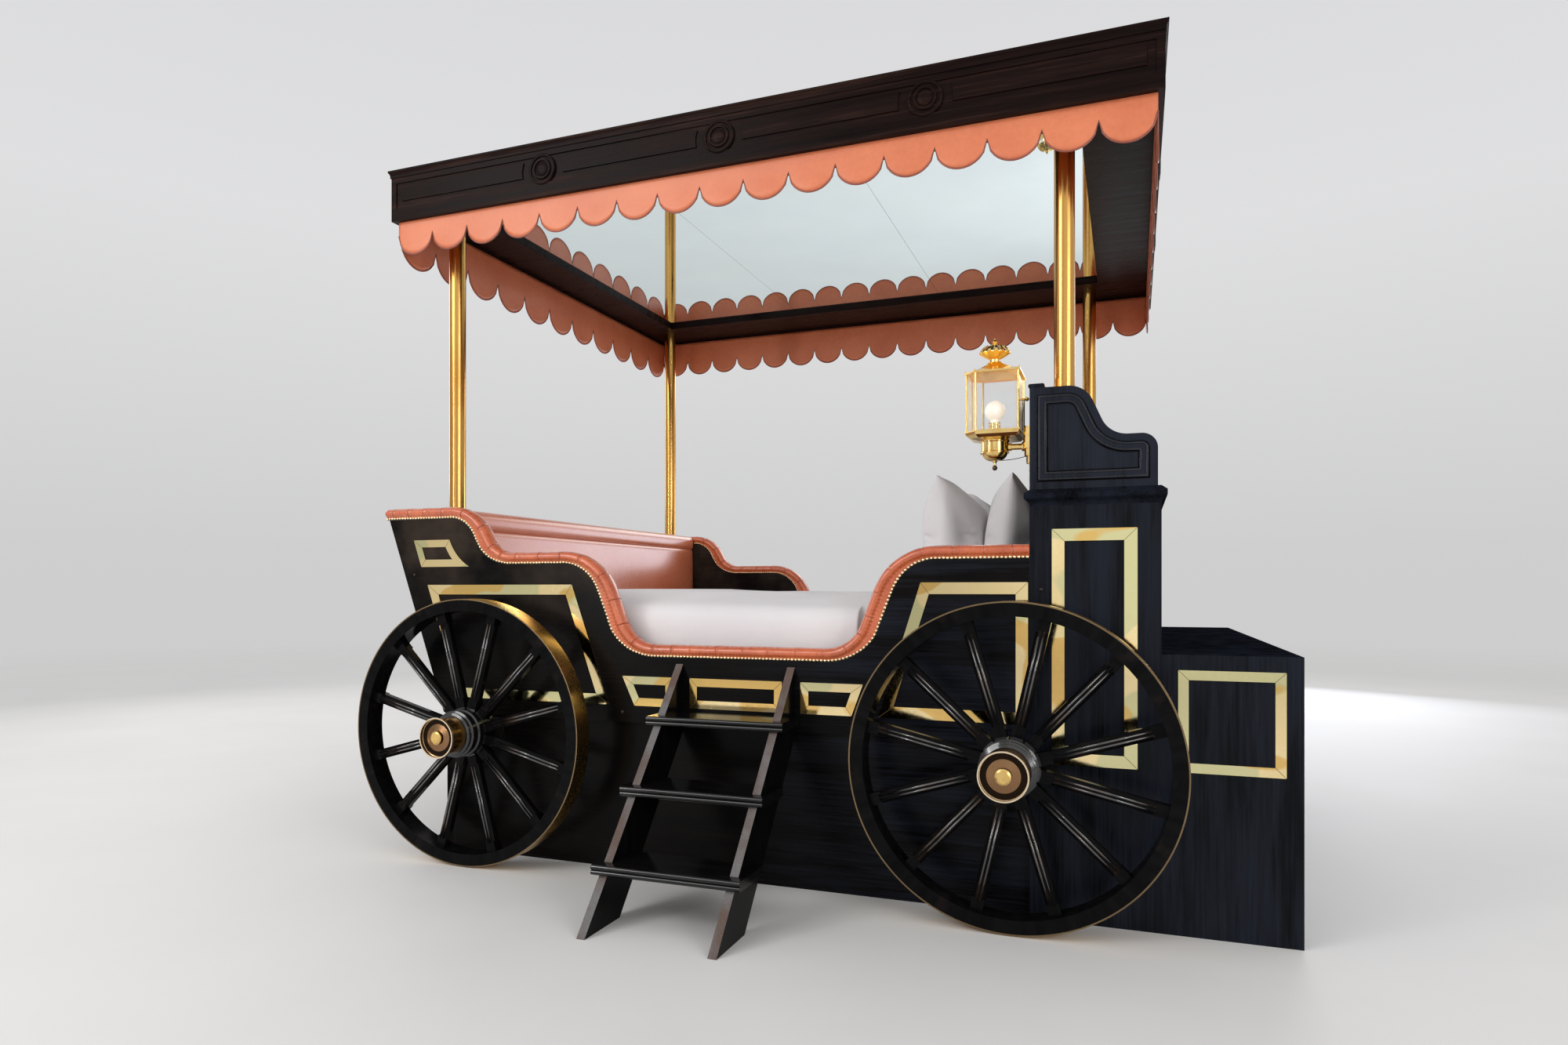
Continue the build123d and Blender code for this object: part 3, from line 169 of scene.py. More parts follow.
class Nodes:
    """Adds nodes to a tree and gives back their outputs."""

    def __init__(self, tree, place="Object"):
        self.tree = tree
        self.here = self.add("TexCoord").outputs[place]

    def add(self, kind, sockets=(), **settings):
        """A shader node with its settings made and its sockets set or linked."""
        node = self.tree.nodes.new("ShaderNode" + kind)
        for key, value in settings.items():
            setattr(node, key, value)
        for key, value in dict(sockets).items():
            if isinstance(value, bpy.types.NodeSocket):
                self.tree.links.new(value, node.inputs[key])
            else:
                node.inputs[key].default_value = value
        return node

    def drawn_out(self, axis, along, across):
        """Places scaled by along on one axis (0 to 2) and by across on the others."""
        scales = [along if k == axis else across for k in range(3)]
        return self.add("Mapping", {"Vector": self.here, "Scale": scales}).outputs[0]

    def cloud(self, scale, detail=4.0, rough=0.5, where=None):
        sockets = {"Vector": where or self.here, "Scale": scale, "Detail": detail, "Roughness": rough}
        return self.add("TexNoise", sockets).outputs["Fac"]

    def span(self, value, from_low, from_high, low=0.0, high=1.0):
        sockets = {"Value": value, "From Min": from_low, "From Max": from_high, "To Min": low, "To Max": high}
        return self.add("MapRange", sockets).outputs["Result"]

    def over(self, value, low, high):
        """Low to high over the range that a cloud has."""
        return self.span(value, 0.3, 0.7, low, high)

    def math(self, operation, *values):
        return self.add("Math", enumerate(values), operation=operation).outputs[0]

    def plus(self, first, second):
        return self.math("ADD", first, second)

    def times(self, first, second):
        return self.math("MULTIPLY", first, second)

    def length(self, vector):
        return self.add("VectorMath", {0: vector}, operation="LENGTH").outputs["Value"]

    def split(self, vector):
        return self.add("SeparateXYZ", {0: vector}).outputs

    def facing(self):
        """The surface's direction, in parts."""
        return self.split(self.add("NewGeometry").outputs["Normal"])

    def ramp(self, value, *stops):
        """Colours by position, each stop a position and a colour."""
        node = self.add("ValToRGB", {"Fac": value})
        elements = node.color_ramp.elements
        elements.remove(elements[1])
        elements[0].position = stops[0][0]
        elements[0].color = (*stops[0][1], 1.0)
        for position, color in stops[1:]:
            elements.new(position).color = (*color, 1.0)
        return node.outputs["Color"]

    def mixed(self, factor, *colors):
        first, second = ((*c, 1.0) if isinstance(c, (tuple, list)) else c for c in colors)
        return self.add("Mix", {0: factor, 6: first, 7: second}, data_type="RGBA").outputs[2]

    def bump(self, height, distance, strength, **under):
        sockets = {"Height": height, "Distance": distance, "Strength": strength, **under}
        return self.add("Bump", sockets).outputs["Normal"]


class Material(Nodes):
    """A Principled material; the values given sit on the shader's own sockets."""

    def __init__(self, name, **values):
        self.made = bpy.data.materials.new(name)
        self.made.use_nodes = True
        super().__init__(self.made.node_tree)
        self.shader = self.tree.nodes["Principled BSDF"]
        for key, value in values.items():
            self.shader.inputs[key.replace("_", " ")].default_value = value

    def shaded(self, color, rough, normal=None, **more):
        """Links the shader's sockets and gives back the material."""
        links = {"Base Color": color, "Roughness": rough, "Normal": normal, **more}
        for key, socket in links.items():
            if socket:
                self.tree.links.new(socket, self.shader.inputs[key.replace("_", " ")])
        return self.made

    def dusty_tops(self, gloss):
        """The specular level, with none left where dust has dulled what faces up."""
        return self.span(self.facing()["Z"], 0.9, 0.97, gloss, 0.0)

    def about_hub(self, centre):
        """Places about a wheel's centre, their parts, and how far out from the axle they are."""
        moved = self.add("Mapping", {"Vector": self.here, "Location": tuple(-centre)}).outputs[0]
        parts = self.split(moved)
        level = self.add("CombineXYZ", {"X": parts["X"], "Z": parts["Z"]}).outputs[0]
        return moved, parts, self.length(level)


# Materials
PAINT_GLOSS = 0.07
WOOD_GLOSS = 0.04
WHEEL_GLOSS = 0.055
NAVE_GLOSS = 0.8
BLACK = (0.002, 0.002, 0.0025)
# Painted shade inside the hub's cup, and a painted highlight on its lip
CUP_SHADE = (0.018, 0.011, 0.007)
CUP_LIP_HIGHLIGHT = (0.82, 0.66, 0.46)


def black_paint(name, along, dark, light, patch_tone, gloss=PAINT_GLOSS):
    """Semi-gloss black over wood, with brushing along an axis (0 to 2), patches of another tone, and a
    painted blue sheen.
    """
    m = Material("black_paint_" + name)
    grain = m.cloud(1.0, 8.0, 0.62, m.drawn_out(along, 1.6, 13.0))
    brush = m.cloud(1.0, 3.0, 0.5, m.drawn_out(along, 5.0, 150.0))
    patches = m.cloud(3.1, 5.0, 0.6)
    streaks = m.plus(m.times(grain, 0.7), m.times(brush, 0.3))
    color = m.ramp(streaks, (0.36, dark), (0.66, light))
    # Another tone in patches, most towards its top and its rear
    place = m.split(m.here)
    patchy_here = m.times(m.span(place["Z"], 0.8, 1.05, 0.08, 1.0), m.span(place["X"], -0.7, 0.3, 1.0, 0.2))
    color = m.mixed(m.times(m.span(patches, 0.4, 0.66), patchy_here), color, patch_tone)
    # Painted blue sheen along the brush streaks, more towards the driver's seat
    brushed_blue_sheen = m.times(m.span(place["X"], -0.1, 0.4, 0.0, 0.8), m.span(streaks, 0.42, 0.62))
    color = m.mixed(brushed_blue_sheen, color, (0.013, 0.016, 0.026))
    height = m.plus(grain, m.times(brush, 0.45))
    rough = m.plus(m.over(patches, 0.14, 0.28), m.over(brush, 0.0, 0.08))
    return m.shaded(color, rough, m.bump(height, 0.0006, 0.14), Specular_IOR_Level=m.dusty_tops(gloss))


def tread_paint(name):
    """Polished black on the treads."""
    m = Material(name, Specular_IOR_Level=0.45)
    grain = m.cloud(1.0, 6.0, 0.6, m.drawn_out(0, 4.0, 45.0))
    return m.shaded(m.ramp(grain, (0.35, BLACK), (0.7, (0.007, 0.006, 0.006))),
                    m.over(m.cloud(14.0, 6.0, 0.65), 0.08, 0.2), m.bump(grain, 0.0006, 0.2))


def stringer_paint(name):
    """Black paint on the steps' side boards, grey-brown along their raked front edges, partly as wear and
    partly as painted reflection.
    """
    m = Material(name, Specular_IOR_Level=PAINT_GLOSS)
    grain = m.cloud(1.0, 6.0, 0.6, m.drawn_out(2, 4.0, 45.0))
    raked = m.span(m.math("ABSOLUTE", m.facing()["Y"]), 0.45, 0.75)
    sheen_and_wear = m.times(raked, m.span(m.cloud(260.0, 3.0, 0.6), 0.35, 0.6, 0.75, 1.0))
    paint = m.ramp(grain, (0.35, BLACK), (0.7, (0.006, 0.005, 0.005)))
    sheen_and_wear_tone = m.mixed(m.span(m.cloud(5.0, 3.0, 0.6), 0.42, 0.58),
                   (0.175, 0.165, 0.165), (0.13, 0.092, 0.078))
    return m.shaded(m.mixed(sheen_and_wear, paint, sheen_and_wear_tone), m.plus(m.times(sheen_and_wear, 0.35), 0.16),
                    m.bump(grain, 0.0006, 0.3))


def wheel_paint(name, centre):
    """Black paint with grain that runs out from the hub, dusty and rubbed brown in patches."""
    m = Material(name)
    moved, parts, out = m.about_hub(centre)
    angle = m.math("ARCTAN2", parts["Z"], parts["X"])
    polar = m.add("CombineXYZ", {
        "X": m.times(angle, 16.0), "Y": m.times(out, 3.0), "Z": m.times(parts["Y"], 40.0)}).outputs[0]
    grain = m.cloud(1.0, 7.0, 0.6, polar)
    patches = m.cloud(9.0, 5.0, 0.6, moved)
    paint = m.ramp(grain, (0.35, BLACK), (0.7, (0.006, 0.0055, 0.0055)))
    color = m.mixed(m.span(patches, 0.58, 0.78, 0.0, 0.6), paint, (0.022, 0.015, 0.012))
    # The turned nave is glossier than the spokes and the rim
    gloss = m.span(out, NAVE_REACH - 0.004, NAVE_REACH, NAVE_GLOSS, WHEEL_GLOSS)
    return m.shaded(color, m.over(patches, 0.07, 0.18), m.bump(grain, 0.0006, 0.15), Specular_IOR_Level=gloss)


def bead_paint(name):
    """Thick polished black on the spokes' beads, with patches of painted brown reflection."""
    m = Material(name, Specular_IOR_Level=0.6, Coat_Weight=1.0, Coat_IOR=1.7, Coat_Roughness=0.08)
    patches = m.cloud(11.0, 5.0, 0.6)
    # The brown patches are painted reflection of warm light
    color = m.ramp(patches, (0.45, (0.004, 0.004, 0.005)), (0.68, (0.05, 0.032, 0.022)))
    return m.shaded(color, m.over(patches, 0.1, 0.22))


def stained_wood(name, along):
    """Very dark red-brown polished wood: long fine grain with darker pores."""
    m = Material(name)
    bands = m.cloud(1.0, 9.0, 0.66, m.drawn_out(along, 1.1, 30.0))
    pores = m.cloud(1.0, 3.0, 0.5, m.drawn_out(along, 9.0, 330.0))
    wood = m.ramp(bands, (0.33, (0.005, 0.0025, 0.0025)), (0.52, (0.013, 0.006, 0.005)),
                  (0.7, (0.04, 0.018, 0.013)))
    color = m.mixed(m.span(pores, 0.36, 0.52, 0.75, 0.0), wood, (0.006, 0.004, 0.004))
    return m.shaded(color, m.over(bands, 0.22, 0.38), m.bump(m.plus(bands, pores), 0.0006, 0.3),
                    Specular_IOR_Level=m.dusty_tops(WOOD_GLOSS))


def bare_board(name, along):
    m = Material(name)
    bands = m.cloud(1.0, 8.0, 0.6, m.drawn_out(along, 0.8, 22.0))
    fibres = m.cloud(1.0, 2.0, 0.5, m.drawn_out(along, 7.2, 198.0))
    wood = m.ramp(bands, (0.3, (0.3, 0.19, 0.1)), (0.55, (0.45, 0.32, 0.19)), (0.75, (0.56, 0.43, 0.28)))
    return m.shaded(wood, m.over(fibres, 0.5, 0.75), m.bump(fibres, 0.0004, 0.4))


def leather(name, low, high, rough, grain_depth=0.0002, coat=0.15):
    """Upholstery leather: pebbled grain, soft creases, uneven dye, and painted shade in its tucks and along
    its nailed edge.
    """
    m = Material("leather_" + name, Coat_Weight=coat, Coat_Roughness=0.24)
    mottle = m.cloud(60.0, 4.0, 0.6)
    tone = m.plus(m.times(m.cloud(5.0, 5.0, 0.55), 0.65), m.times(mottle, 0.35))
    tuck_shade = m.add("Attribute", attribute_name="tuck_shade").outputs["Fac"]
    # Painted shade darkens the leather in its tucks
    color = m.mixed(tuck_shade, m.ramp(tone, (0.34, low), (0.64, high)), [c * 0.36 for c in low])
    # Above 1 the attribute marks the shadowed edge that the nails hold, painted near black as shade
    color = m.mixed(m.span(tuck_shade, 1.0, 1.6), color, (0.012, 0.007, 0.006))
    pebbles = m.add("TexVoronoi", {"Vector": m.here, "Scale": 620.0}).outputs["Distance"]
    height = m.plus(pebbles, m.times(m.cloud(34.0, 7.0, 0.62), 2.6))
    return m.shaded(color, m.over(mottle, rough - 0.05, rough + 0.09), m.bump(height, grain_depth, 0.32))


def scratched(m, broad, fine_scale, low, high, scratch=0.06, depth=0.00012, strength=0.25):
    """Roughness and normal of worn metal: broad patches and fine scratches."""
    fine = m.cloud(fine_scale, 4.0, 0.6)
    rough = m.plus(m.over(broad, low, high), m.span(fine, 0.35, 0.7, 0.0, scratch))
    return rough, m.bump(fine, depth, strength)


def brass(name, bright, deep, low, high, scale=7.0, tarnish=0.6, olive=0.0):
    """Brass with deeper tarnish, fine scratches and, by olive, patches of painted reflection as if it
    mirrored a room.
    """
    m = Material("brass_" + name, Metallic=1.0)
    broad = m.cloud(scale, 5.0, 0.6)
    gold = m.mixed(m.span(broad, 0.46, 0.74, 0.0, tarnish), bright, deep)
    # The green and warm patches are painted reflections
    green = m.cloud(scale * 0.9, 1.0, 0.4)
    gold = m.mixed(m.span(green, 0.52, 0.54, 0.0, olive), gold, (0.6, 0.6, 0.33))
    warm = m.cloud(scale * 0.6, 1.0, 0.4, m.drawn_out(2, 1.9, 1.3))
    gold = m.mixed(m.span(warm, 0.56, 0.58, 0.0, olive), gold, (0.74, 0.44, 0.1))
    return m.shaded(gold, *scratched(m, broad, scale * 16.0, low, high, strength=0.22))


def tyre_brass(name, centre, hub_y):
    """Worn brass on a wheel: the tyre, and the hub's collar and cup in browner bronze."""
    m = Material("brass_" + name, Metallic=1.0)
    _, parts, out = m.about_hub(centre)
    broad = m.cloud(7.0, 5.0, 0.6)
    tarnish = m.span(broad, 0.42, 0.68, 0.0, 0.9)
    gold = m.mixed(tarnish, (0.78, 0.5, 0.16), (0.42, 0.21, 0.06))
    # The tyre's edges are dull
    edge = m.span(m.math("ABSOLUTE", m.facing()["Y"]), 0.7, 0.9, 0.0, 0.85)
    gold = m.mixed(edge, gold, (0.15, 0.115, 0.08))
    # The hub is browner than the tyre; its cup has painted shade and dark painted reflection in its recess,
    # inside a painted highlight on its lip
    across = m.math("ABSOLUTE", parts["Y"])
    on_hub = m.times(m.span(out, 0.12, 0.13, 1.0, 0.0), m.span(across, hub_y - 0.001, hub_y))
    on_cup = m.span(across, hub_y + CUP_FROM - 0.001, hub_y + CUP_FROM)
    cup_shading = m.ramp(m.times(out, 10.0), (0.435, (0.27, 0.15, 0.075)), (0.445, CUP_SHADE), (0.605, CUP_SHADE),
                 (0.615, CUP_LIP_HIGHLIGHT), (0.665, CUP_LIP_HIGHLIGHT))
    hub = m.mixed(on_cup, m.mixed(tarnish, (0.62, 0.32, 0.085), (0.28, 0.12, 0.03)), cup_shading)
    return m.shaded(m.mixed(on_hub, gold, hub), *scratched(m, broad, 150.0, 0.16, 0.34))


def lamp_brass(name):
    """The lamp's brass, with its finial ball and the stud's ball in dark bronze, and a painted glow in the
    roof's hollow.
    """
    m = Material("brass_" + name, Metallic=1.0, Emission_Strength=1.0)
    broad = m.cloud(16.0, 5.0, 0.6)
    gold = m.mixed(m.span(broad, 0.45, 0.72, 0.0, 0.7), (0.9, 0.66, 0.27), (0.62, 0.36, 0.09))
    height = m.split(m.here)["Z"]
    # The roof's hollow gets a warmer colour and a glow, painted light from the globe
    lit_hollow = m.times(m.span(height, LAMP_HIGH.z - 0.012, LAMP_HIGH.z - 0.008),
                     m.span(m.facing()["Z"], -0.35, -0.15, 1.0, 0.0))
    gold = m.mixed(lit_hollow, gold, (0.62, 0.34, 0.06))
    painted_glow = m.mixed(lit_hollow, (0.0, 0.0, 0.0), (0.36, 0.17, 0.018))
    ball_top = LAMP_LOW.z - FINIAL_DROP
    gold = m.mixed(m.span(height, ball_top - 0.001, ball_top + 0.001, 1.0, 0.0), gold, (0.1, 0.07, 0.045))
    return m.shaded(gold, *scratched(m, broad, 170.0, 0.09, 0.2, 0.05, 0.00015), Emission_Color=painted_glow)


def cotton(name):
    """White cotton: crossing yarns, soft rumples and a faint fuzz."""
    m = Material(name, Sheen_Weight=0.15, Sheen_Roughness=0.5)
    yarns = [m.add("TexWave", {"Vector": m.here, "Scale": 420.0, "Distortion": 0.6},
                   bands_direction=axis).outputs["Fac"] for axis in "XYZ"]
    height = m.plus(m.plus(yarns[0], yarns[1]), yarns[2])
    rumples = m.cloud(9.0, 5.0, 0.55)
    color = m.ramp(m.cloud(2.6), (0.34, (0.7, 0.675, 0.7)), (0.66, (0.77, 0.75, 0.76)))
    return m.shaded(color, m.over(rumples, 0.82, 0.95),
                    m.bump(height, 0.00015, 0.25, Normal=m.bump(rumples, 0.012, 0.3)))


def silvered_glass(name):
    m = Material(name, Metallic=1.0)
    haze = m.cloud(4.0, 6.0, 0.65)
    return m.shaded(m.ramp(haze, (0.3, (0.86, 0.97, 1.0)), (0.7, (0.89, 1.0, 1.0))),
                    m.span(haze, 0.45, 0.8, 0.012, 0.05), m.bump(m.cloud(1.7, 1.0), 0.004, 0.06))


def lamp_pane(name):
    """Thin clear glass: mostly see-through; its pale bluish colour, lighter at the smears, is painted
    reflection.
    """
    m = Material(name, Alpha=0.1, IOR=1.5, Specular_IOR_Level=1.0, Coat_Weight=1.0)
    smears = m.cloud(22.0, 6.0, 0.6)
    return m.shaded(m.ramp(smears, (0.3, (0.52, 0.6, 0.68)), (0.7, (0.74, 0.78, 0.8))),
                    m.span(smears, 0.45, 0.8, 0.02, 0.12), m.bump(smears, 0.0004, 0.2))


def opal_glass(name):
    m = Material(name, Coat_Weight=0.4, Coat_Roughness=0.08, Emission_Color=(1.0, 0.9, 0.74, 1.0),
                 Emission_Strength=0.48)
    milk = m.cloud(30.0, 4.0, 0.6)
    return m.shaded(m.ramp(milk, (0.3, (0.8, 0.78, 0.74)), (0.7, (0.88, 0.87, 0.84))),
                    m.over(milk, 0.16, 0.24))


def white_plastic(name):
    m = Material(name)
    grime = m.cloud(40.0, 5.0, 0.6)
    return m.shaded(m.ramp(grime, (0.35, (0.6, 0.57, 0.52)), (0.6, (0.78, 0.77, 0.75))),
                    m.over(grime, 0.28, 0.42), m.bump(grime, 0.0002, 0.2))


def cast_iron(name):
    m = Material(name, Metallic=0.6)
    rust = m.cloud(18.0, 5.0, 0.6)
    return m.shaded(m.ramp(rust, (0.45, (0.022, 0.021, 0.021)), (0.75, (0.06, 0.036, 0.024))),
                    m.over(rust, 0.38, 0.6), m.bump(m.cloud(240.0, 5.0, 0.65), 0.0005, 0.5))


def pale_floor(name):
    m = Material(name)
    mottle = m.cloud(1.2, 5.0, 0.55)
    # Far out the floor fades into the pale room
    clear = m.add("BsdfTransparent").outputs[0]
    fade = m.span(m.length(m.here), 5.0, 15.0)
    faded = m.add("MixShader", {0: fade, 1: m.shader.outputs[0], 2: clear}).outputs[0]
    m.tree.links.new(faded, m.tree.nodes["Material Output"].inputs["Surface"])
    return m.shaded(m.ramp(mottle, (0.3, (0.74, 0.73, 0.72)), (0.7, (0.78, 0.77, 0.76))),
                    m.over(mottle, 0.6, 0.7))


BROWNISH = ((0.0022, 0.002, 0.0022), (0.005, 0.0042, 0.004), (0.04, 0.028, 0.021))
# The blue in the next two palettes is painted sheen, a cool light mirrored in black paint; the brushed one
# also has brush streaks
BLUISH_SHEEN = ((0.003, 0.0035, 0.0048), (0.01, 0.011, 0.0145), (0.014, 0.015, 0.02))
BRUSHED_BLUE_SHEEN = ((0.005, 0.006, 0.009), (0.024, 0.027, 0.039), (0.034, 0.038, 0.055))
# Near black for the strips of painted groove shade
GROOVE_SHADE_BLACK = ((0.0008,) * 3, (0.002,) * 3, (0.003,) * 3)
ROLL_ORANGE = ((0.42, 0.074, 0.024), (0.66, 0.15, 0.054))
VALANCE_ORANGE = ((0.6, 0.145, 0.056), (0.72, 0.205, 0.088))
PAD_PINK = ((0.6, 0.16, 0.072), (0.68, 0.205, 0.102))
PIPING_BROWN = ((0.24, 0.06, 0.035), (0.34, 0.09, 0.05))
STRIP_GOLD = ((0.92, 0.74, 0.4), (0.8, 0.6, 0.26))
POST_GOLD = ((0.62, 0.34, 0.095), (0.48, 0.22, 0.045))
NUT_GOLD = ((0.82, 0.56, 0.2), (0.5, 0.28, 0.08))
NAIL_GOLD = ((0.95, 0.8, 0.5), (0.72, 0.52, 0.26))
JOINT_BROWN = ((0.16, 0.11, 0.05), (0.08, 0.05, 0.02))
M = {
    "board_x": black_paint("along_x", 0, *BROWNISH),
    "board_y": black_paint("along_y", 1, *BLUISH_SHEEN),
    "board_z": black_paint("along_z", 2, *BLUISH_SHEEN),
    "board_arm": black_paint("brushed_blue_sheen", 2, *BRUSHED_BLUE_SHEEN),
    "cornice": black_paint("cornice", 1, *BLUISH_SHEEN, 0.0),
    "bead": black_paint("gloss", 2, *BLUISH_SHEEN, 0.35),
    "spoke_bead": bead_paint("black_paint_spoke_beads"),
    # Near-black strips that paint the shade of a groove
    "groove": black_paint("groove", 0, *GROOVE_SHADE_BLACK, 0.05),
    "treads": tread_paint("black_paint_treads"),
    "stringers": stringer_paint("black_paint_sheen_and_wear"),
    "wood_x": stained_wood("stained_wood_along_x", 0),
    "wood_y": stained_wood("stained_wood_along_y", 1),
    "board_plain": bare_board("plain_board", 0),
    "roll_leather": leather("roll", *ROLL_ORANGE, 0.28, coat=0.7),
    "valance_leather": leather("valance", *VALANCE_ORANGE, 0.42),
    "pad_leather": leather("pad", *PAD_PINK, 0.3, 0.000012, 1.0),
    "piping_leather": leather("piping", *PIPING_BROWN, 0.38),
    "strip_brass": brass("polished", *STRIP_GOLD, 0.03, 0.1, 5.0, 0.5, olive=0.75),
    "post_brass": brass("post", *POST_GOLD, 0.14, 0.24, 3.0, 0.8),
    "nut_brass": brass("nut", *NUT_GOLD, 0.2, 0.34, 30.0, 0.7),
    "nail_brass": brass("nails", *NAIL_GOLD, 0.16, 0.26, 90.0, 0.5),
    "mitre": brass("joint", *JOINT_BROWN, 0.4, 0.6, 30.0),
    "lamp_brass": lamp_brass("lamp"),
    "cotton": cotton("cotton_white"),
    "mirror": silvered_glass("mirror_silvered"),
    "pane": lamp_pane("lamp_pane"),
    "opal": opal_glass("opal_globe"),
    "plastic": white_plastic("white_sleeve"),
    "iron": cast_iron("iron_black"),
}

# The CAD nodes' materials, by node or by the start of its name
FINISHES = {
    "side_panel": "board_x", "plinth": "board_x", "rear_panel": "board_y", "rear_cap": "board_y",
    "seat_box": "board_z", "seat_cornice": "cornice", "seat_board": "board_y", "headboard": "board_z",
    "seat_arm": "board_arm", "foot_box": "board_z", "step_treads": "treads", "step_stringers": "stringers",
    "fascia_right": "wood_x", "fascia_left": "wood_x", "fascia_rear": "wood_y", "fascia_front": "wood_y",
    "soffit": "wood_x", "roof_panel": "wood_x", "deck": "board_plain", "footboard": "board_plain",
    "foot_": "pad_leather", "edge_roll": "roll_leather", "valance": "valance_leather",
    "brass_frames": "strip_brass", "lamp_frame": "lamp_brass", "lamp_brackets": "lamp_brass",
    "post_flanges": "post_brass", "posts": "post_brass", "axle_nuts": "nut_brass",
    "mattress": "cotton", "pillow": "cotton", "mirror_ceiling": "mirror",
    "lamp_glass": "pane", "lamp_bulbs": "opal", "wire_sleeves": "plastic", "axle_": "iron",
}


def reach(node, pick):
    """How far from the coach's centreline a part starts (min) or ends (max)."""
    return pick(abs(corner.y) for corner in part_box(node))


def middle_of(node):
    low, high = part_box(node)
    return (low + high) / 2


def give(obj, finish):
    obj.data.materials.clear()
    obj.data.materials.append(finish)


def finish_nodes():
    """Each CAD node takes the material of the longest matching name."""
    for node, obj in NODES.items():
        centre = middle_of(node)
        if node.startswith("wheel_trim"):
            centre.y = 0.0
            give(obj, tyre_brass(node, centre, reach(node, max) - HUB_DEPTH))
        elif node.startswith("wheel_"):
            give(obj, wheel_paint("black_paint_" + node, centre))
        else:
            start = max((s for s in FINISHES if node.startswith(s)), key=len)
            give(obj, M[FINISHES[start]])


# Helpers for shapes
def wander(x, y, z):
    """Smooth noise between about -1 and 1."""
    return noise.noise(Vector((x, y, z)))


def share(value):
    """The value kept between 0 and 1."""
    return max(0.0, min(1.0, value))


# Helpers for pieces
def piece(name, verts, faces, finish, slot, replaces=(), body="coach", smooth=True):
    mesh = bpy.data.meshes.new(name)
    mesh.from_pydata([tuple(v) for v in verts], [], faces)
    mesh.validate()
    obj = bpy.data.objects.new(name, mesh)
    scene.collection.objects.link(obj)
    if smooth:
        mesh.shade_smooth()
    return dressed(obj, finish, replaces, body)


def dressed(obj, finish, replaces=(), body="coach"):
    give(obj, M[finish])
    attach(obj, body)
    if replaces:
        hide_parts(*replaces)
    return obj


def skin(rings, cap=True):
    """Vertices and faces of a tube through rings of the same number of points."""
    count = len(rings[0])
    verts = [p for ring in rings for p in ring]
    faces = []
    for i in range(0, len(verts) - count, count):
        for j in range(count):
            k = (j + 1) % count
            faces.append((i + j, i + k, i + count + k, i + count + j))
    if cap:
        faces.append(tuple(reversed(range(count))))
        faces.append(tuple(range(len(verts) - count, len(verts))))
    return verts, faces


def slab(front, back, width):
    """A closed slab from two grids of points, in rows of the given width, with a rim round them."""
    count = len(front)
    faces = []
    for row in range(0, count - width, width):
        for a in range(row, row + width - 1):
            faces.append((a, a + 1, a + 1 + width, a + width))
            faces.append((count + a, count + a + width, count + a + 1 + width, count + a + 1))
    rim = [*range(width), *range(2 * width - 1, count, width)]
    rim += [*range(count - 2, count - width - 1, -1), *range(count - 2 * width, 0, -width)]
    for a, b in zip(rim, rim[1:] + rim[:1]):
        faces.append((b, a, count + a, count + b))
    return front + back, faces


def mirrored(verts, faces):
    return [(x, -y, z) for x, y, z in verts], [tuple(reversed(f)) for f in faces]


def both_sides(name, verts, faces, finish, slot, replaces="", smooth=True):
    """The piece on the coach's right and its mirror image on the left."""
    made = []
    for side, shape in (("right", (verts, faces)), ("left", mirrored(verts, faces))):
        nodes = (replaces + "_" + side,) if replaces else ()
        made.append(piece(name + "_" + side, *shape, finish, slot, nodes, smooth=smooth))
    return made


def joined(shapes):
    """One mesh's vertices and faces from several."""
    verts = []
    faces = []
    for more, shape in shapes:
        faces += [tuple(len(verts) + i for i in f) for f in shape]
        verts += more
    return verts, faces


def oval(middle, across, up, sides, turn=0.0):
    """Points round a middle, from the oval's two half axes."""
    angles = [2 * math.pi * k / sides + turn for k in range(sides)]
    return [middle + across * math.cos(a) + up * math.sin(a) for a in angles]


def tube(points, radius, sides=10):
    """A round tube through points, closed at both ends."""
    points = [Vector(p) for p in points]
    rings = []
    for i, point in enumerate(points):
        along = (points[min(i + 1, len(points) - 1)] - points[max(i - 1, 0)]).normalized()
        across = along.cross(Vector((0.31, 0.17, 0.93))).normalized() * radius
        rings.append(oval(point, across, along.cross(across), sides))
    return skin(rings)


DOME_LEVELS = ((1.0, 0.0), (0.94, 0.35), (0.7, 0.74), (0.36, 0.95))


def domes(places, out, radius, rise, sides=9):
    """Small domed heads at places, standing out to one side (-1 or 1)."""
    out = Vector((0.0, out, 0.0))
    across = out.cross(Vector((0.2, 0.3, 0.93))).normalized()
    up = out.cross(across)
    heads = []
    for place in places:
        place = Vector(place)
        size = chance.uniform(0.93, 1.05) * radius
        turn = chance.uniform(0.0, 0.7)
        rings = [oval(place + out * rise * high, across * wide * size, up * wide * size, sides, turn)
                 for wide, high in DOME_LEVELS]
        verts, faces = skin(rings, cap=False)
        last = len(verts) - sides
        faces += [(last + k, last + (k + 1) % sides, len(verts)) for k in range(sides)]
        heads.append((verts + [place + out * rise], faces))
    return joined(heads)


# The side's top edge
def s_curve(run, drop, steepest):
    """The moves of an S with level ends, two like arcs joined by a straight: (length, turn) each."""
    turn = math.radians(steepest)
    across = 2 * math.sin(turn)
    down = 2 * (1 - math.cos(turn))
    straight = (abs(drop) * across - run * down) / (across * math.sin(turn) - down * math.cos(turn))
    radius = (run - straight * math.cos(turn)) / across
    way = -1 if drop > 0 else 1
    return [(radius * turn, way * turn), (straight, 0.0), (radius * turn, -way * turn)]


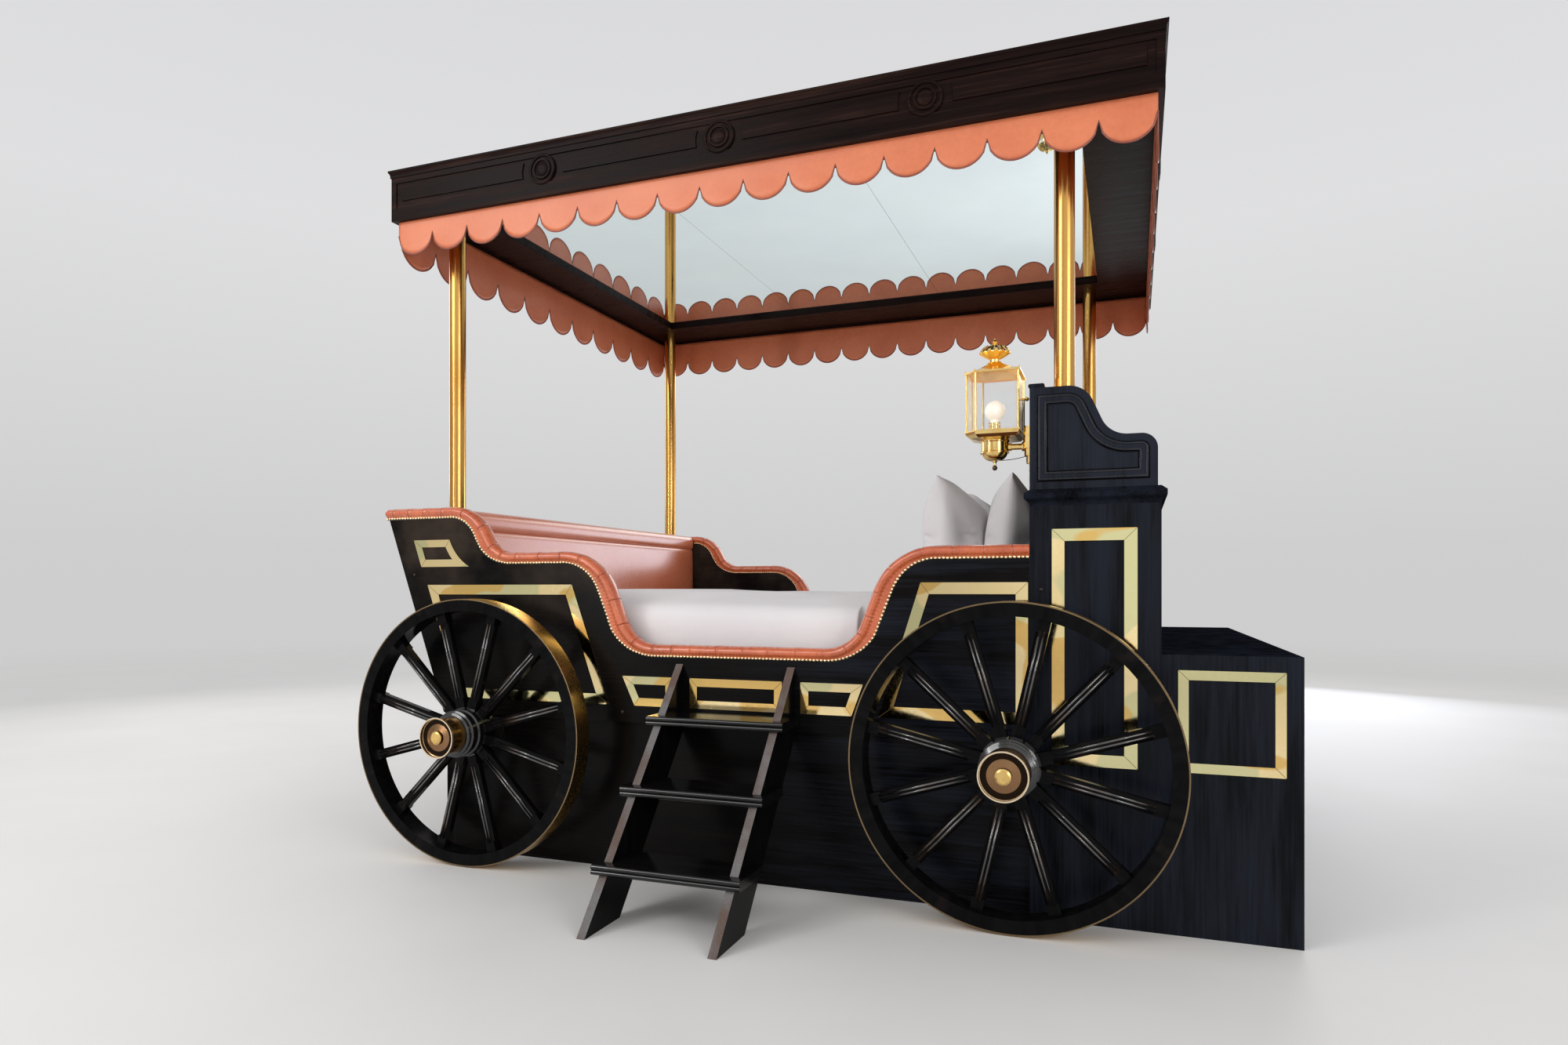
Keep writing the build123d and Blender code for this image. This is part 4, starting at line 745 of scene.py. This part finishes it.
def edge_places(rear_x, front_x, step):
    """Places (x, z, heading) at about every step along the side's top edge."""
    moves = []
    x = rear_x
    for x0, x1, drop, steepest in EDGE_CURVES:
        moves.append((x0 - x, 0.0))
        moves += s_curve(x1 - x0, drop, steepest)
        x = x1
    moves.append((front_x - x, 0.0))
    places = [(rear_x, TOP_Z, 0.0)]
    for length, turn in moves:
        x, z, heading = places[-1]
        count = max(1, round(length / step))
        for k in range(1, count + 1):
            part = length * k / count
            ahead = heading + turn * k / count
            if turn:
                radius = length / turn
                dx = radius * (math.sin(ahead) - math.sin(heading))
                dz = -radius * (math.cos(ahead) - math.cos(heading))
            else:
                dx = part * math.cos(heading)
                dz = part * math.sin(heading)
            places.append((x + dx, z + dz, ahead))
    return places


def tuck_marks(length):
    """Where the leather is tucked along a roll, how deep each tuck is and how far it slants."""
    marks = []
    at = chance.uniform(0.3, 0.8) * TUCK_PITCH
    while at < length - 0.015:
        # The tucks are deepest towards the foot end
        deep = 1.0 if at < TUCKS_DEEP else 0.45
        marks.append((at, deep * chance.uniform(0.75, 1.2), chance.uniform(-0.12, 0.12)))
        at += TUCK_PITCH * chance.uniform(0.8, 1.12)
    return np.array(marks)


def tucked(marks, at, across, rise):
    """How far the leather stands in (-) or out (+) at a point of the roll, and how much painted shade its
    tuck gets.
    """
    near = at + marks[:, 2] * across - marks[:, 0]
    groove = np.exp(-(near / TUCK_WIDTH) ** 2) * marks[:, 1]
    fold = np.exp(-((near - 2.4 * TUCK_WIDTH) / (1.9 * TUCK_WIDTH)) ** 2) * marks[:, 1]
    puff = wander(at * 22.0, across * 30.0, 3.7) * 0.0009
    dark = float((np.exp(-(near / (0.6 * TUCK_WIDTH)) ** 2) * np.minimum(1.0, marks[:, 1])).max())
    return float((0.35 * fold - groove).sum()) * TUCK_DEPTH * rise + puff * rise, dark * min(1.0, rise)


# Half the roll's section, from its edge up to its crown: across, up from the board's top, and how
# much the tucks show there. The edge is a flat flange, flush with the board, which the nails hold.
HALF_SECTION = (
    (0.0189, 0.0, 0.0), (0.019, 0.0045, 0.0), (0.019, 0.0064, 0.0), (0.0191, 0.0074, 0.1),
    (0.0198, 0.01, 0.4), (0.0226, 0.0124, 0.7), (0.0262, 0.0155, 0.9), (0.0288, 0.0198, 1.0),
    (0.0298, 0.0248, 1.0), (0.0288, 0.0298, 1.0), (0.0256, 0.0343, 1.0), (0.0204, 0.0379, 1.0),
    (0.0136, 0.0404, 1.0), (0.0066, 0.0416, 1.0), (0.0, 0.042, 1.0),
)
FLANGE_IN = 0.0187
FLANGE_TOP = 0.0068
# Below this height the leather's edge is painted near black as shade
NAILED_AT = 0.005
BOARD_TOP = 0.0002
ROLL_SECTION = (
    *((-across, up, shows) for across, up, shows in HALF_SECTION), *HALF_SECTION[-2::-1],
    (FLANGE_IN, 0.0, 0.0), (FLANGE_IN, BOARD_TOP, 0.0), (-FLANGE_IN, BOARD_TOP, 0.0), (-FLANGE_IN, 0.0, 0.0))


def flange_more(heading):
    """How much further down the leather reaches where the edge is steep."""
    return STEEP_MORE * min(1.0, math.sin(heading) ** 2 / 0.8)


def rolled(places, middle_y):
    """The padded roll along places, tucked, with a rounded rear end."""
    length = 0.0
    along = [0.0]
    for (x0, z0, _), (x1, z1, _) in zip(places, places[1:]):
        length += math.hypot(x1 - x0, z1 - z0)
        along.append(length)
    marks = tuck_marks(length)
    rings = []
    tuck_shades = []
    for i, ((x, z, heading), at) in enumerate(zip(places, along)):
        # Away from the tucks every other ring is enough
        if i % 2 and np.abs(at - marks[:, 0]).min() > 6 * TUCK_WIDTH and 0 < i < len(places) - 1:
            continue
        # The rear end closes in a quarter round
        end = min(1.0, at / ROLL_END)
        close = math.sqrt(max(0.0, 1 - (1 - end) ** 2)) * 0.45 + 0.55
        ring = []
        for across, up, shows in ROLL_SECTION:
            in_shadow = up < NAILED_AT
            if up < FLANGE_TOP and up != BOARD_TOP:
                up -= flange_more(heading)
            from_middle = Vector((across, up - ROLL_CENTRE))
            stand, dark = tucked(marks, at, across, shows)
            # Small puckers between the nails along the leather's edge
            if shows > 0.2:
                fade = share((0.02 - up) / 0.009)
                stand += PUCKER * fade * math.cos(2 * math.pi * at / NAIL_PITCH)
            from_middle *= close * (1 + stand / max(from_middle.length, 1e-6))
            up_here = from_middle.y + ROLL_CENTRE
            ring.append((x - up_here * math.sin(heading), middle_y + from_middle.x,
                         z + up_here * math.cos(heading)))
            # Painted shade: 2 on the shadowed edge under the nails, else the tuck's shade
            tuck_shades.append(2.0 if in_shadow else dark)
        rings.append(ring)
    return *skin(rings), tuck_shades


def mark_tuck_shade(obj, tuck_shades):
    """Keeps at each point how much painted shade the leather gets, for its material."""
    obj.data.attributes.new("tuck_shade", "FLOAT", "POINT").data.foreach_set("value", tuck_shades)


def make_edge_rolls():
    middle_y = (ROLL_LOW.y + ROLL_HIGH.y) / 2
    places = edge_places(ROLL_LOW.x + 0.0005, ROLL_HIGH.x, ROLL_STEP)
    verts, faces, tuck_shades = rolled(places, middle_y)
    for roll in both_sides("leather_roll", verts, faces, "roll_leather", "leather", "edge_roll"):
        mark_tuck_shade(roll, tuck_shades)


def make_nails():
    """Domed nails along the leather's edge, outside and inside."""
    places = edge_places(SIDE_LOW.x - 0.011, SEAT_X - 0.006, NAIL_PITCH)
    for name, y, out in (("outer", BODY_Y, -1.0), ("inner", INNER_Y, 1.0)):
        spots = []
        for x, z, heading in places:
            drop = NAIL_DROP + flange_more(heading) + chance.uniform(-0.0004, 0.0004)
            if name == "outer" or x >= PAD_HIGH.x:
                spots.append((x + drop * math.sin(heading), y, z - drop * math.cos(heading)))
        heads = domes(spots, out, NAIL_RADIUS, NAIL_RISE)
        both_sides("nails_" + name, *heads, "nail_brass", "polished_brass")


# Trim that follows the CAD parts' own faces
def face_loops(node, y):
    """Closed lines round a part's flat faces at y."""
    made = bmesh.new()
    made.from_mesh(NODES[node].data)
    bmesh.ops.remove_doubles(made, verts=made.verts, dist=0.00002)
    made.verts.index_update()
    made.verts.ensure_lookup_table()
    flat = {f for f in made.faces if all(abs(v.co.y - y) < 0.0002 for v in f.verts)}
    links = {}
    for edge in made.edges:
        if sum(f in flat for f in edge.link_faces) == 1:
            a, b = (v.index for v in edge.verts)
            links.setdefault(a, []).append(b)
            links.setdefault(b, []).append(a)
    loops = []
    while links:
        start = before = min(links)
        here = links[start][0]
        line = [start]
        while here != start:
            line.append(here)
            first, second = links[here]
            before, here = here, second if first == before else first
        loops.append([made.verts[i].co.copy() for i in line])
        for i in line:
            del links[i]
    made.free()
    return loops


def corners(loop, least=15.0):
    """The loop's points where it turns by more than the least angle."""
    found = []
    for i, point in enumerate(loop):
        into = point - loop[i - 1]
        out = loop[(i + 1) % len(loop)] - point
        if math.degrees(into.angle(out)) > least:
            found.append(point)
    return found


def mitres(loop):
    """Each point of a closed line, the direction there, and what a mitred corner's reach is divided by."""
    for i, point in enumerate(loop):
        into = (point - loop[i - 1]).normalized()
        ahead = (loop[(i + 1) % len(loop)] - point).normalized()
        along = (into + ahead).normalized()
        yield point, along, max(0.5, along.dot(into))


def bead(loop, wide, high):
    """An oval bead along a closed line on the coach's right, its corners mitred."""
    out = Vector((0.0, -1.0, 0.0))
    rings = [oval(point, along.cross(out) / narrow * wide / 2, out * high, 12)
             for point, along, narrow in mitres(loop)]
    return skin(rings + rings[:1], cap=False)


def beside(loop, off):
    """A closed line moved outwards (+) or inwards (-) in its own plane."""
    area = sum(a.x * b.z - b.x * a.z for a, b in zip(loop, loop[1:] + loop[:1]))
    off = math.copysign(off, off * area)
    return [point + Vector((along.z, 0.0, -along.x)) / narrow * off for point, along, narrow in mitres(loop)]


def make_arm_beads():
    """Beads along both edges of the raised band on the seat's arms, and beside each a thin black strip of
    painted shade for a groove.
    """
    face_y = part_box("seat_arm_right")[0].y
    loops = face_loops("seat_arm_right", face_y)
    beads = joined([bead(loop, BEAD_WIDE, BEAD_HIGH) for loop in loops])
    both_sides("arm_bead", *beads, "bead", "black_paint")
    middle = sum(loops[0], Vector()) / len(loops[0])
    spread = [max((p - middle).length for p in loop) for loop in loops]
    # The outer line's painted groove shade lies outside it, and the inner line's inside
    verts, faces = joined([
        bead(beside(loop, GROOVE_SHADE_OFF if size == max(spread) else -GROOVE_SHADE_OFF), GROOVE_SHADE_WIDE, GROOVE_SHADE_HIGH)
        for loop, size in zip(loops, spread)])
    down = Vector((0.0, BODY_Y - face_y, 0.0))
    both_sides("arm_groove_shade", [v + down for v in verts], faces, "groove", "black_paint")


def make_mitres():
    """Thin dark joints where the brass strips meet at their frames' corners."""
    face_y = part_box("brass_frames_right")[0].y
    loops = [corners(loop) for loop in face_loops("brass_frames_right", face_y)]
    proud = Vector((0.0, -MITRE_PROUD, 0.0))
    bars = []
    for i, loop in enumerate(loops):
        others = [p for k, other in enumerate(loops) if k != i for p in other]
        for point in loop:
            near = min(others, key=lambda p: (p - point).length)
            # Each pair of corners is met twice and counts once
            if point.x + point.z * 0.01 > near.x + near.z * 0.01 or (near - point).length > MITRE_LONGEST:
                continue
            along = (near - point).normalized()
            side = Vector((-along.z, 0.0, along.x)) * MITRE_WIDE / 2
            bars.append(skin([[end + side, end + side + proud, end - side + proud, end - side]
                              for end in (point, near)]))
    both_sides("brass_mitre", *joined(bars), "mitre", "polished_brass", smooth=False)


def make_spoke_beads():
    """Two polished beads along the front of each spoke."""
    for node in (n for n in NODES if n.startswith("wheel_") and "trim" not in n):
        trim = node.replace("wheel_", "wheel_trim_")
        centre = middle_of(trim)
        centre.y = math.copysign(reach(trim, min) + WHEEL_WIDE - SPOKE_FACE, centre.y)
        phase = SPOKE_PHASES["rear" if "rear" in node else "front"]
        beads = []
        for k in range(SPOKES):
            a = math.radians(phase + 360.0 * k / SPOKES)
            along = Vector((math.cos(a), 0.0, -math.sin(a)))
            side = Vector((math.sin(a), 0.0, math.cos(a)))
            for off in (-SPOKE_BEAD_OFF, SPOKE_BEAD_OFF):
                line = [centre + side * off + along * r for r in (SPOKE_FROM, SPOKE_TO)]
                beads.append(tube(line, SPOKE_BEAD, 12))
        piece("spoke_beads_" + node[6:], *joined(beads), "spoke_bead", "black_wheel", body=node)


def make_screws():
    """Round-headed screws in the side's foot and the seat box."""
    spots = [(x, BODY_Y, z) for x, z in SCREWS]
    both_sides("screws", *domes(spots, -1.0, SCREW_RADIUS, SCREW_RISE, 14), "iron", "dark_iron")


# The foot end's roll laps down in front of the pad
FOOT_SECTION = (
    (0.029, 0.002), (0.03, 0.01), (0.029, 0.019), (0.0255, 0.0275), (0.0195, 0.0345),
    (0.012, 0.039), (0.003, 0.041), (-0.007, 0.04), (-0.016, 0.0362), (-0.023, 0.03),
    (-0.0275, 0.022), (-0.0296, 0.013), (-0.03, 0.003), (-0.0298, -0.007), (-0.0288, -0.016),
    (-0.0265, -0.024), (-0.0225, -0.0295), (-0.017, -0.032), (-0.0105, -0.0325), (-0.01, -0.001),
    (-0.01, 0.0003), (0.028, 0.0003),
)


def make_foot_roll():
    middle_x = (FOOT_ROLL_LOW.x + FOOT_ROLL_HIGH.x) / 2
    low, high = FOOT_ROLL_LOW.y, FOOT_ROLL_HIGH.y
    steps = 240
    rings = []
    for i in range(steps + 1):
        y = low + (high - low) * i / steps
        ring = []
        for back, up in FOOT_SECTION:
            # The underside lies flat
            soft = 0.0 if abs(up) < 0.0005 else 0.01
            swell = 1 + wander(y * 3.0, back * 20.0, up * 20.0) * soft
            ring.append((middle_x - back * swell, y, FOOT_ROLL_LOW.z + up * swell))
        rings.append(ring)
    roll = piece("leather_foot_roll", *skin(rings), "pad_leather", "leather", ("foot_roll",))


def make_foot_pad():
    """The upholstered panel inside the foot end, a little full."""
    low, high = PAD_LOW, PAD_HIGH
    top = FOOT_ROLL_LOW.z - FOOT_ROLL_LAP + 0.002
    columns = 150
    rows = 46
    front = []
    for j in range(rows + 1):
        z = low.z + (top - low.z) * j / rows
        for i in range(columns + 1):
            y = low.y + (high.y - low.y) * i / columns
            edge = min(y - low.y, high.y - y, z - low.z, top - z + 0.004)
            round_off = 1 - max(0.0, 1 - edge / 0.016) ** 2 * 0.75
            full = 0.86 + 0.14 * math.sin(math.pi * (z - low.z) / (top - low.z))
            ripple = wander(y * 2.1, z * 3.0, 1.3) * 0.05
            x = low.x + (high.x - low.x) * max(0.15, min(1.0, round_off * full + ripple))
            front.append((x, y, z))
    back = [(low.x, y, z) for _, y, z in front]
    pad = piece("leather_foot_pad", *slab(front, back, columns + 1), "pad_leather", "leather", ("foot_pad",))


# Valances
def hem(at, pitch):
    """How far down the scalloped hem is, at a distance along the strip."""
    half = pitch / 2
    lobe = half - 0.003
    # The circle through two cusps and the lobe's lowest point
    radius = (half * half + lobe * lobe) / (2 * lobe)
    across = (at % pitch) - half
    below = math.sqrt(max(0.0, radius * radius - across * across)) - (radius - lobe)
    return VALANCE_PLAIN + below - HEM_TUCK


def stand_off(at, down, length, pitch):
    """How far out from its plane the strip curls and drifts, along it and down from its top."""
    lobe = math.sin(math.pi * (at % pitch) / pitch)
    curl = 0.0035 * lobe * share((down - VALANCE_PLAIN) / 0.05)
    drift = 0.0012 * wander(at * 5.0, down * 4.0, length) * min(1.0, down / 0.1)
    return curl + drift


def make_valance(side, node, length, scallops, place):
    """A hung strip of leather with a scalloped, piped hem; place(at, out, z) puts it on its side."""
    pitch = length / scallops
    columns = scallops * 14
    rows = 12
    top_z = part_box(node)[1].z - 0.001
    middle = []
    for i in range(columns + 1):
        at = length * i / columns
        for j in range(rows + 1):
            down = hem(at, pitch) * j / rows
            middle.append((at, stand_off(at, down, length, pitch), top_z - down))
    front, back = ([place(at, out + off, z) for at, out, z in middle]
                   for off in (VALANCE_THICK / 2, -VALANCE_THICK / 2))
    strip = piece("leather_valance_" + side, *slab(front, back, rows + 1), "valance_leather", "leather",
                  (node,))
    line = [place(*point) for point in middle[rows::rows + 1]]
    piping = piece("piping_" + side, *tube(line, PIPING_RADIUS, 8), "piping_leather", "leather")


def make_valances():
    """The four strips, each a little shorter than its board."""
    right_low, right_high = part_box("valance_right")
    rear_low, rear_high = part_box("valance_rear")
    long = right_high.x - right_low.x - 0.002
    short = rear_high.y - rear_low.y - 0.002
    x0 = right_low.x + 0.001
    y0 = rear_low.y + 0.001
    side_y = -middle_of("valance_right").y
    rear_x = middle_of("valance_rear").x
    front_x = middle_of("valance_front").x
    for side, length, scallops, place in (
            ("right", long, SIDE_SCALLOPS, lambda at, out, z: (x0 + at, -side_y - out, z)),
            ("left", long, SIDE_SCALLOPS, lambda at, out, z: (x0 + long - at, side_y + out, z)),
            ("rear", short, END_SCALLOPS, lambda at, out, z: (rear_x - out, y0 + short - at, z)),
            ("front", short, END_SCALLOPS, lambda at, out, z: (front_x + out, y0 + at, z))):
        make_valance(side, "valance_" + side, length, scallops, place)


# Bedding
PILLOWS = sorted(n for n in NODES if n.startswith("pillow"))


def points_of(mesh):
    spots = np.empty(len(mesh.vertices) * 3)
    mesh.vertices.foreach_get("co", spots)
    return spots.reshape(-1, 3)


def put_points(mesh, spots):
    mesh.vertices.foreach_set("co", np.ascontiguousarray(spots).ravel())
    mesh.update()


def evaluated(obj):
    graph = bpy.context.evaluated_depsgraph_get()
    return bpy.data.meshes.new_from_object(obj.evaluated_get(graph))


def swollen(obj, pressure, cap, stiff=6.0, bend=0.4):
    """Blows the closed form up as cloth, each point moved by no more than cap."""
    start = points_of(obj.data)
    settings = obj.modifiers.new("padding", "CLOTH").settings
    settings.effector_weights.gravity = 0.0
    for key, value in dict(
            quality=6, mass=0.3, tension_stiffness=stiff, compression_stiffness=stiff, shear_stiffness=stiff,
            bending_stiffness=bend, use_pressure=True, uniform_pressure_force=pressure).items():
        setattr(settings, key, value)
    for number in range(1, 21):
        scene.frame_set(number)
    end = points_of(evaluated(obj))
    obj.modifiers.clear()
    scene.frame_set(1)
    move = end - start
    far = np.linalg.norm(move, axis=1)
    move *= np.minimum(1.0, cap / np.maximum(far, 1e-9))[:, None]
    put_points(obj.data, start + move)


def settle(obj):
    """Makes the object's modifiers part of its mesh."""
    mesh = evaluated(obj)
    obj.modifiers.clear()
    obj.data = mesh


def subdivided(obj):
    obj.modifiers.new("soft", "SUBSURF").levels = 1
    settle(obj)
    obj.data.shade_smooth()


def mattress_form():
    """A box with rounded edges, remeshed evenly."""
    low = BED_LOW + Vector((BED_INSET, BED_INSET, 0.0))
    high = BED_HIGH - Vector((BED_INSET, BED_INSET, BED_INSET))
    made = bmesh.new()
    bmesh.ops.create_cube(made, size=1.0)
    for vert in made.verts:
        for axis in range(3):
            vert.co[axis] = high[axis] if vert.co[axis] > 0 else low[axis]
    bmesh.ops.bevel(made, geom=list(made.edges), offset=BED_ROUND, segments=5, affect="EDGES", profile=0.5)
    mesh = bpy.data.meshes.new("mattress_form")
    made.to_mesh(mesh)
    made.free()
    obj = bpy.data.objects.new("bed_mattress", mesh)
    scene.collection.objects.link(obj)
    remesh = obj.modifiers.new("even", "REMESH")
    remesh.mode = "VOXEL"
    remesh.voxel_size = BED_VOXEL
    settle(obj)
    return obj


def crowned(spot, pillow_low):
    """Raises a point of the bed's top, and presses it down under the pillows."""
    x, y, z = spot
    middle = (BED_HIGH.z + BED_LOW.z) / 2
    if z > middle:
        lift = (z - middle) / (BED_HIGH.z - middle)
        in_x = min(1.0, (x - BED_LOW.x) / CROWN_WITHIN)
        in_y = min(1.0, (BED_HIGH.y - abs(y)) / CROWN_WITHIN)
        rumple = wander(x * 2.3, y * 2.3, 0.4) * 0.008
        rumple += FOOT_HUMP * share((HUMP_FROM - x) / HUMP_OVER)
        rumple += wander(x * 7.0, y * 5.0, 2.4) * 0.003
        spot[2] += (BED_CROWN * math.sqrt(max(0.0, in_x * in_y)) + rumple) * lift
        under = share((x - pillow_low.x + PRESSED_OVER) / PRESSED_OVER)
        spot[2] += under * lift * min(0.0, pillow_low.z - 0.002 - spot[2])


def covered(spot):
    """Ends the cover short of the pillows in a step, with a narrower bed past it."""
    x, y, _ = spot
    side = share((abs(y) - BED_HIGH.y + 0.09) / 0.05)
    past = x - COVER_END > BED_VOXEL / 2
    if past:
        spot[1] -= math.copysign(COVER_THICK, y) * side
    if side and abs(x - COVER_END) < BED_VOXEL * 1.5:
        spot[0] = COVER_END + (0.002 if past else -0.002)


def make_mattress():
    """The made-up mattress, swollen as cloth."""
    obj = mattress_form()
    swollen(obj, 4.0, 0.022)
    spots = points_of(obj.data)
    pillow_low = Vector([min(axis) for axis in zip(*(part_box(n)[0] for n in PILLOWS))])
    for spot in spots:
        crowned(spot, pillow_low)
        covered(spot)
    inside_low = np.array(BED_LOW) + 0.0005
    inside_high = np.array(BED_HIGH) - 0.0005
    inside_high[2] = BED_HIGH.z + 0.05
    put_points(obj.data, np.clip(spots, inside_low, inside_high))
    subdivided(obj)
    dressed(obj, "cotton", ("mattress",))


def pillow_form(wide, tall, thick):
    """Two panels sewn together at their edges, full in the middle: X is through the pillow."""
    columns = round(wide / PILLOW_CELL)
    rows = round(tall / PILLOW_CELL)
    verts = []
    index = {}
    for face in (1, -1):
        for j in range(rows + 1):
            for i in range(columns + 1):
                on_seam = i in (0, columns) or j in (0, rows)
                if on_seam and face == -1:
                    index[face, i, j] = index[1, i, j]
                    continue
                u = 2 * i / columns - 1
                v = 2 * j / rows - 1
                full = ((1 - u * u) * (1 - v * v)) ** 0.42
                index[face, i, j] = len(verts)
                # The seams pull in between the corners
                waist = 1 - 0.055 * (1 - v * v)
                dip = 1 - 0.075 * (1 - u * u)
                verts.append((face * thick / 2 * full, u * wide / 2 * waist, v * tall / 2 * dip))
    faces = []
    for face in (1, -1):
        for j in range(rows):
            for i in range(columns):
                corner = [index[face, i + k, j + l] for k, l in ((0, 0), (1, 0), (1, 1), (0, 1))]
                faces.append(tuple(corner[::face]))
    return verts, faces


# Each row of pillows: how far it stands from its CAD solid's middle, thickness, lean in degrees,
# how far the upright corners flop towards the foot end
PILLOW_ROWS = {
    "front": (-0.03, 0.17, -3.5, 0.036),
    "back": (0.01, 0.122, 7.0, 0.0),
}


def creased(y, z, wide, tall, seed):
    """Folds that run down from the two upright corners."""
    height = 0.0
    for side in (-1, 1):
        across = side * wide / 2 - y
        down = tall / 2 - z
        away = math.hypot(across, down)
        angle = math.atan2(across * side, down)
        folds = math.sin(angle * 11.0 + seed * 1.9 + side) + 0.5 * math.sin(angle * 19.0 + seed)
        height += folds * 0.006 * math.exp(-away / 0.16) * min(1.0, away / 0.05)
    return height


def make_pillow(node, number):
    """A full pillow that stands on its long edge, sunk a little into the bed, its corners upright."""
    shift, thick, lean_deg, flop = PILLOW_ROWS["front" if "front" in node else "back"]
    low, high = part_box(node)
    middle = (low + high) / 2 + Vector((shift, 0.0, PILLOW_LIFT))
    lean = math.radians(lean_deg)
    wide = high.y - low.y + 0.004
    tall = PILLOW_TALL
    form = pillow_form(wide, tall, thick)
    obj = piece("pillow_%d" % number, *form, "cotton", "bedding", (node,))
    swollen(obj, 5.0 + 0.4 * number, PILLOW_SWELL, 5.0, 0.15)
    spots = points_of(obj.data)
    slump = 0.016 + 0.006 * math.sin(1.7 * number)
    floor_z = BED_HIGH.z + 0.0012
    for spot in spots:
        x, y, z = spot
        across = 2 * y / wide
        up = max(0.0, 2 * z / tall)
        if abs(x) > 0.003:
            rumple = 0.006 * wander(y * 5.0, z * 5.0, 3.0 * number)
            rumple += 0.0025 * wander(y * 16.0, z * 9.0, 5.0 * number)
            x += math.copysign(1.0, x) * (rumple + creased(y, z, wide, tall, number))
        z -= slump * (1 - across ** 2) * up
        x -= flop * across ** 6 * up ** 3
        spot[0] = middle.x + x * math.cos(lean) + z * math.sin(lean)
        spot[1] = middle.y + y
        spot[2] = middle.z - x * math.sin(lean) + z * math.cos(lean)
        # Where it stands on the bed, it is pressed flat
        if spot[2] < floor_z + PILLOW_FOOT:
            spot[2] = floor_z + PILLOW_FOOT * math.exp((spot[2] - floor_z - PILLOW_FOOT) / PILLOW_FOOT)
    put_points(obj.data, spots)
    subdivided(obj)
    give(obj, M["cotton"])


def make_pillows():
    for number, node in enumerate(PILLOWS, 1):
        make_pillow(node, number)


# Lamps
def make_lamp_details():
    """The candle tubes round the lamp's socket and the thin stay to the bracket."""
    centre = (LAMP_LOW + LAMP_HIGH) / 2
    base = LAMP_LOW.z
    tubes = []
    for k in range(3):
        angle = math.radians(90.0 + 120.0 * k)
        x = centre.x + CANDLE_RING * math.cos(angle)
        y = centre.y + CANDLE_RING * math.sin(angle)
        tubes.append(tube([(x, y, base + up) for up in (0.0, 0.026, 0.031)], CANDLE_RADIUS, 14))
    both_sides("candle_tubes", *joined(tubes), "lamp_brass", "polished_brass")
    start = Vector((centre.x + 0.012, centre.y, base - 0.081))
    end = Vector((SEAT_X - 0.018, centre.y, base - 0.072))
    line = []
    for k in range(STAY_STEPS + 1):
        part = k / STAY_STEPS
        line.append(start.lerp(end, part) - Vector((0, 0, STAY_SAG * math.sin(math.pi * part))))
    both_sides("lamp_stay", *tube(line, STAY_RADIUS, 8), "iron", "dark_iron")


# Studio
def make_floor():
    mesh = bpy.data.meshes.new("floor")
    mesh.from_pydata([(-20, -20, 0), (20, -20, 0), (20, 20, 0), (-20, 20, 0)], [], [(0, 1, 2, 3)])
    floor = bpy.data.objects.new("floor", mesh)
    mesh.materials.append(pale_floor("pale_floor"))
    scene.collection.objects.link(floor)


# Each light: name, place, the point it faces, width, height, watts
LIGHTS = (
    ("key", (-3.4, -5.8, 4.2), (-0.2, 0.0, 0.9), 3.2, 2.2, 105.0),
    ("fill", (5.8, -4.4, 3.0), (0.4, 0.0, 1.0), 3.0, 2.4, 60.0),
    ("back", (1.2, 6.8, 4.4), (-0.6, 0.0, 1.0), 4.6, 2.4, 90.0),
    ("window", (2.7, 6.3, 1.5), (-1.2, 0.0, 1.0), 2.4, 1.8, 50.0),
    ("side", (-6.4, 1.6, 3.0), (0.0, 0.0, 1.1), 2.4, 2.4, 40.0),
    ("strip_left", (-2.6, -4.8, 1.7), (-0.4, -1.0, 0.6), 0.1, 2.0, 24.0),
    ("strip_right", (4.0, -4.6, 1.8), (0.6, -1.0, 0.6), 0.1, 2.0, 22.0),
)


def make_lights():
    for name, place, target, wide, tall, watts in LIGHTS:
        data = bpy.data.lights.new(name, "AREA")
        data.shape = "RECTANGLE"
        data.size = wide
        data.size_y = tall
        data.energy = watts
        if name == "window":
            data.color = (0.84, 0.88, 1.0)
        light = bpy.data.objects.new(name, data)
        light.location = place
        light.rotation_euler = (Vector(target) - Vector(place)).to_track_quat("-Z", "Y").to_euler()
        scene.collection.objects.link(light)


def make_world():
    """A pale room: even round about, with soft bright and dim patches on the coach's right."""
    world = bpy.data.worlds.new("studio")
    world.use_nodes = True
    n = Nodes(world.node_tree, "Generated")
    parts = n.split(n.here)
    room = n.ramp(n.span(parts["Z"], -0.2, 1.0), (0.0, (0.6, 0.6, 0.6)),
                  (0.2, (0.62, 0.62, 0.62)), (0.45, (0.74, 0.74, 0.75)), (1.0, (0.62, 0.62, 0.64)))
    ahead = n.span(n.math("ABSOLUTE", parts["X"]), 0.0, 0.6, 0.12, -0.03)
    spotty = n.plus(n.cloud(1.7, 1.0, 0.4), ahead)
    patches = n.ramp(spotty, (0.34, (0.42, 0.41, 0.39)), (0.45, (0.66, 0.65, 0.63)), (0.58, (1.0, 1.0, 0.98)))
    near = n.span(parts["Y"], -0.55, -0.15, 1.0, 0.0)
    sky = n.tree.nodes["Background"].inputs
    n.tree.links.new(n.mixed(near, room, patches), sky["Color"])
    sky["Strength"].default_value = 1.0
    scene.world = world


make_camera()
scene.view_settings.view_transform = "Standard"
finish_nodes()
make_floor()
make_lights()
make_world()
make_edge_rolls()
make_nails()
make_arm_beads()
make_mitres()
make_spoke_beads()
make_screws()
make_foot_roll()
make_foot_pad()
make_valances()
make_mattress()
make_pillows()
make_lamp_details()
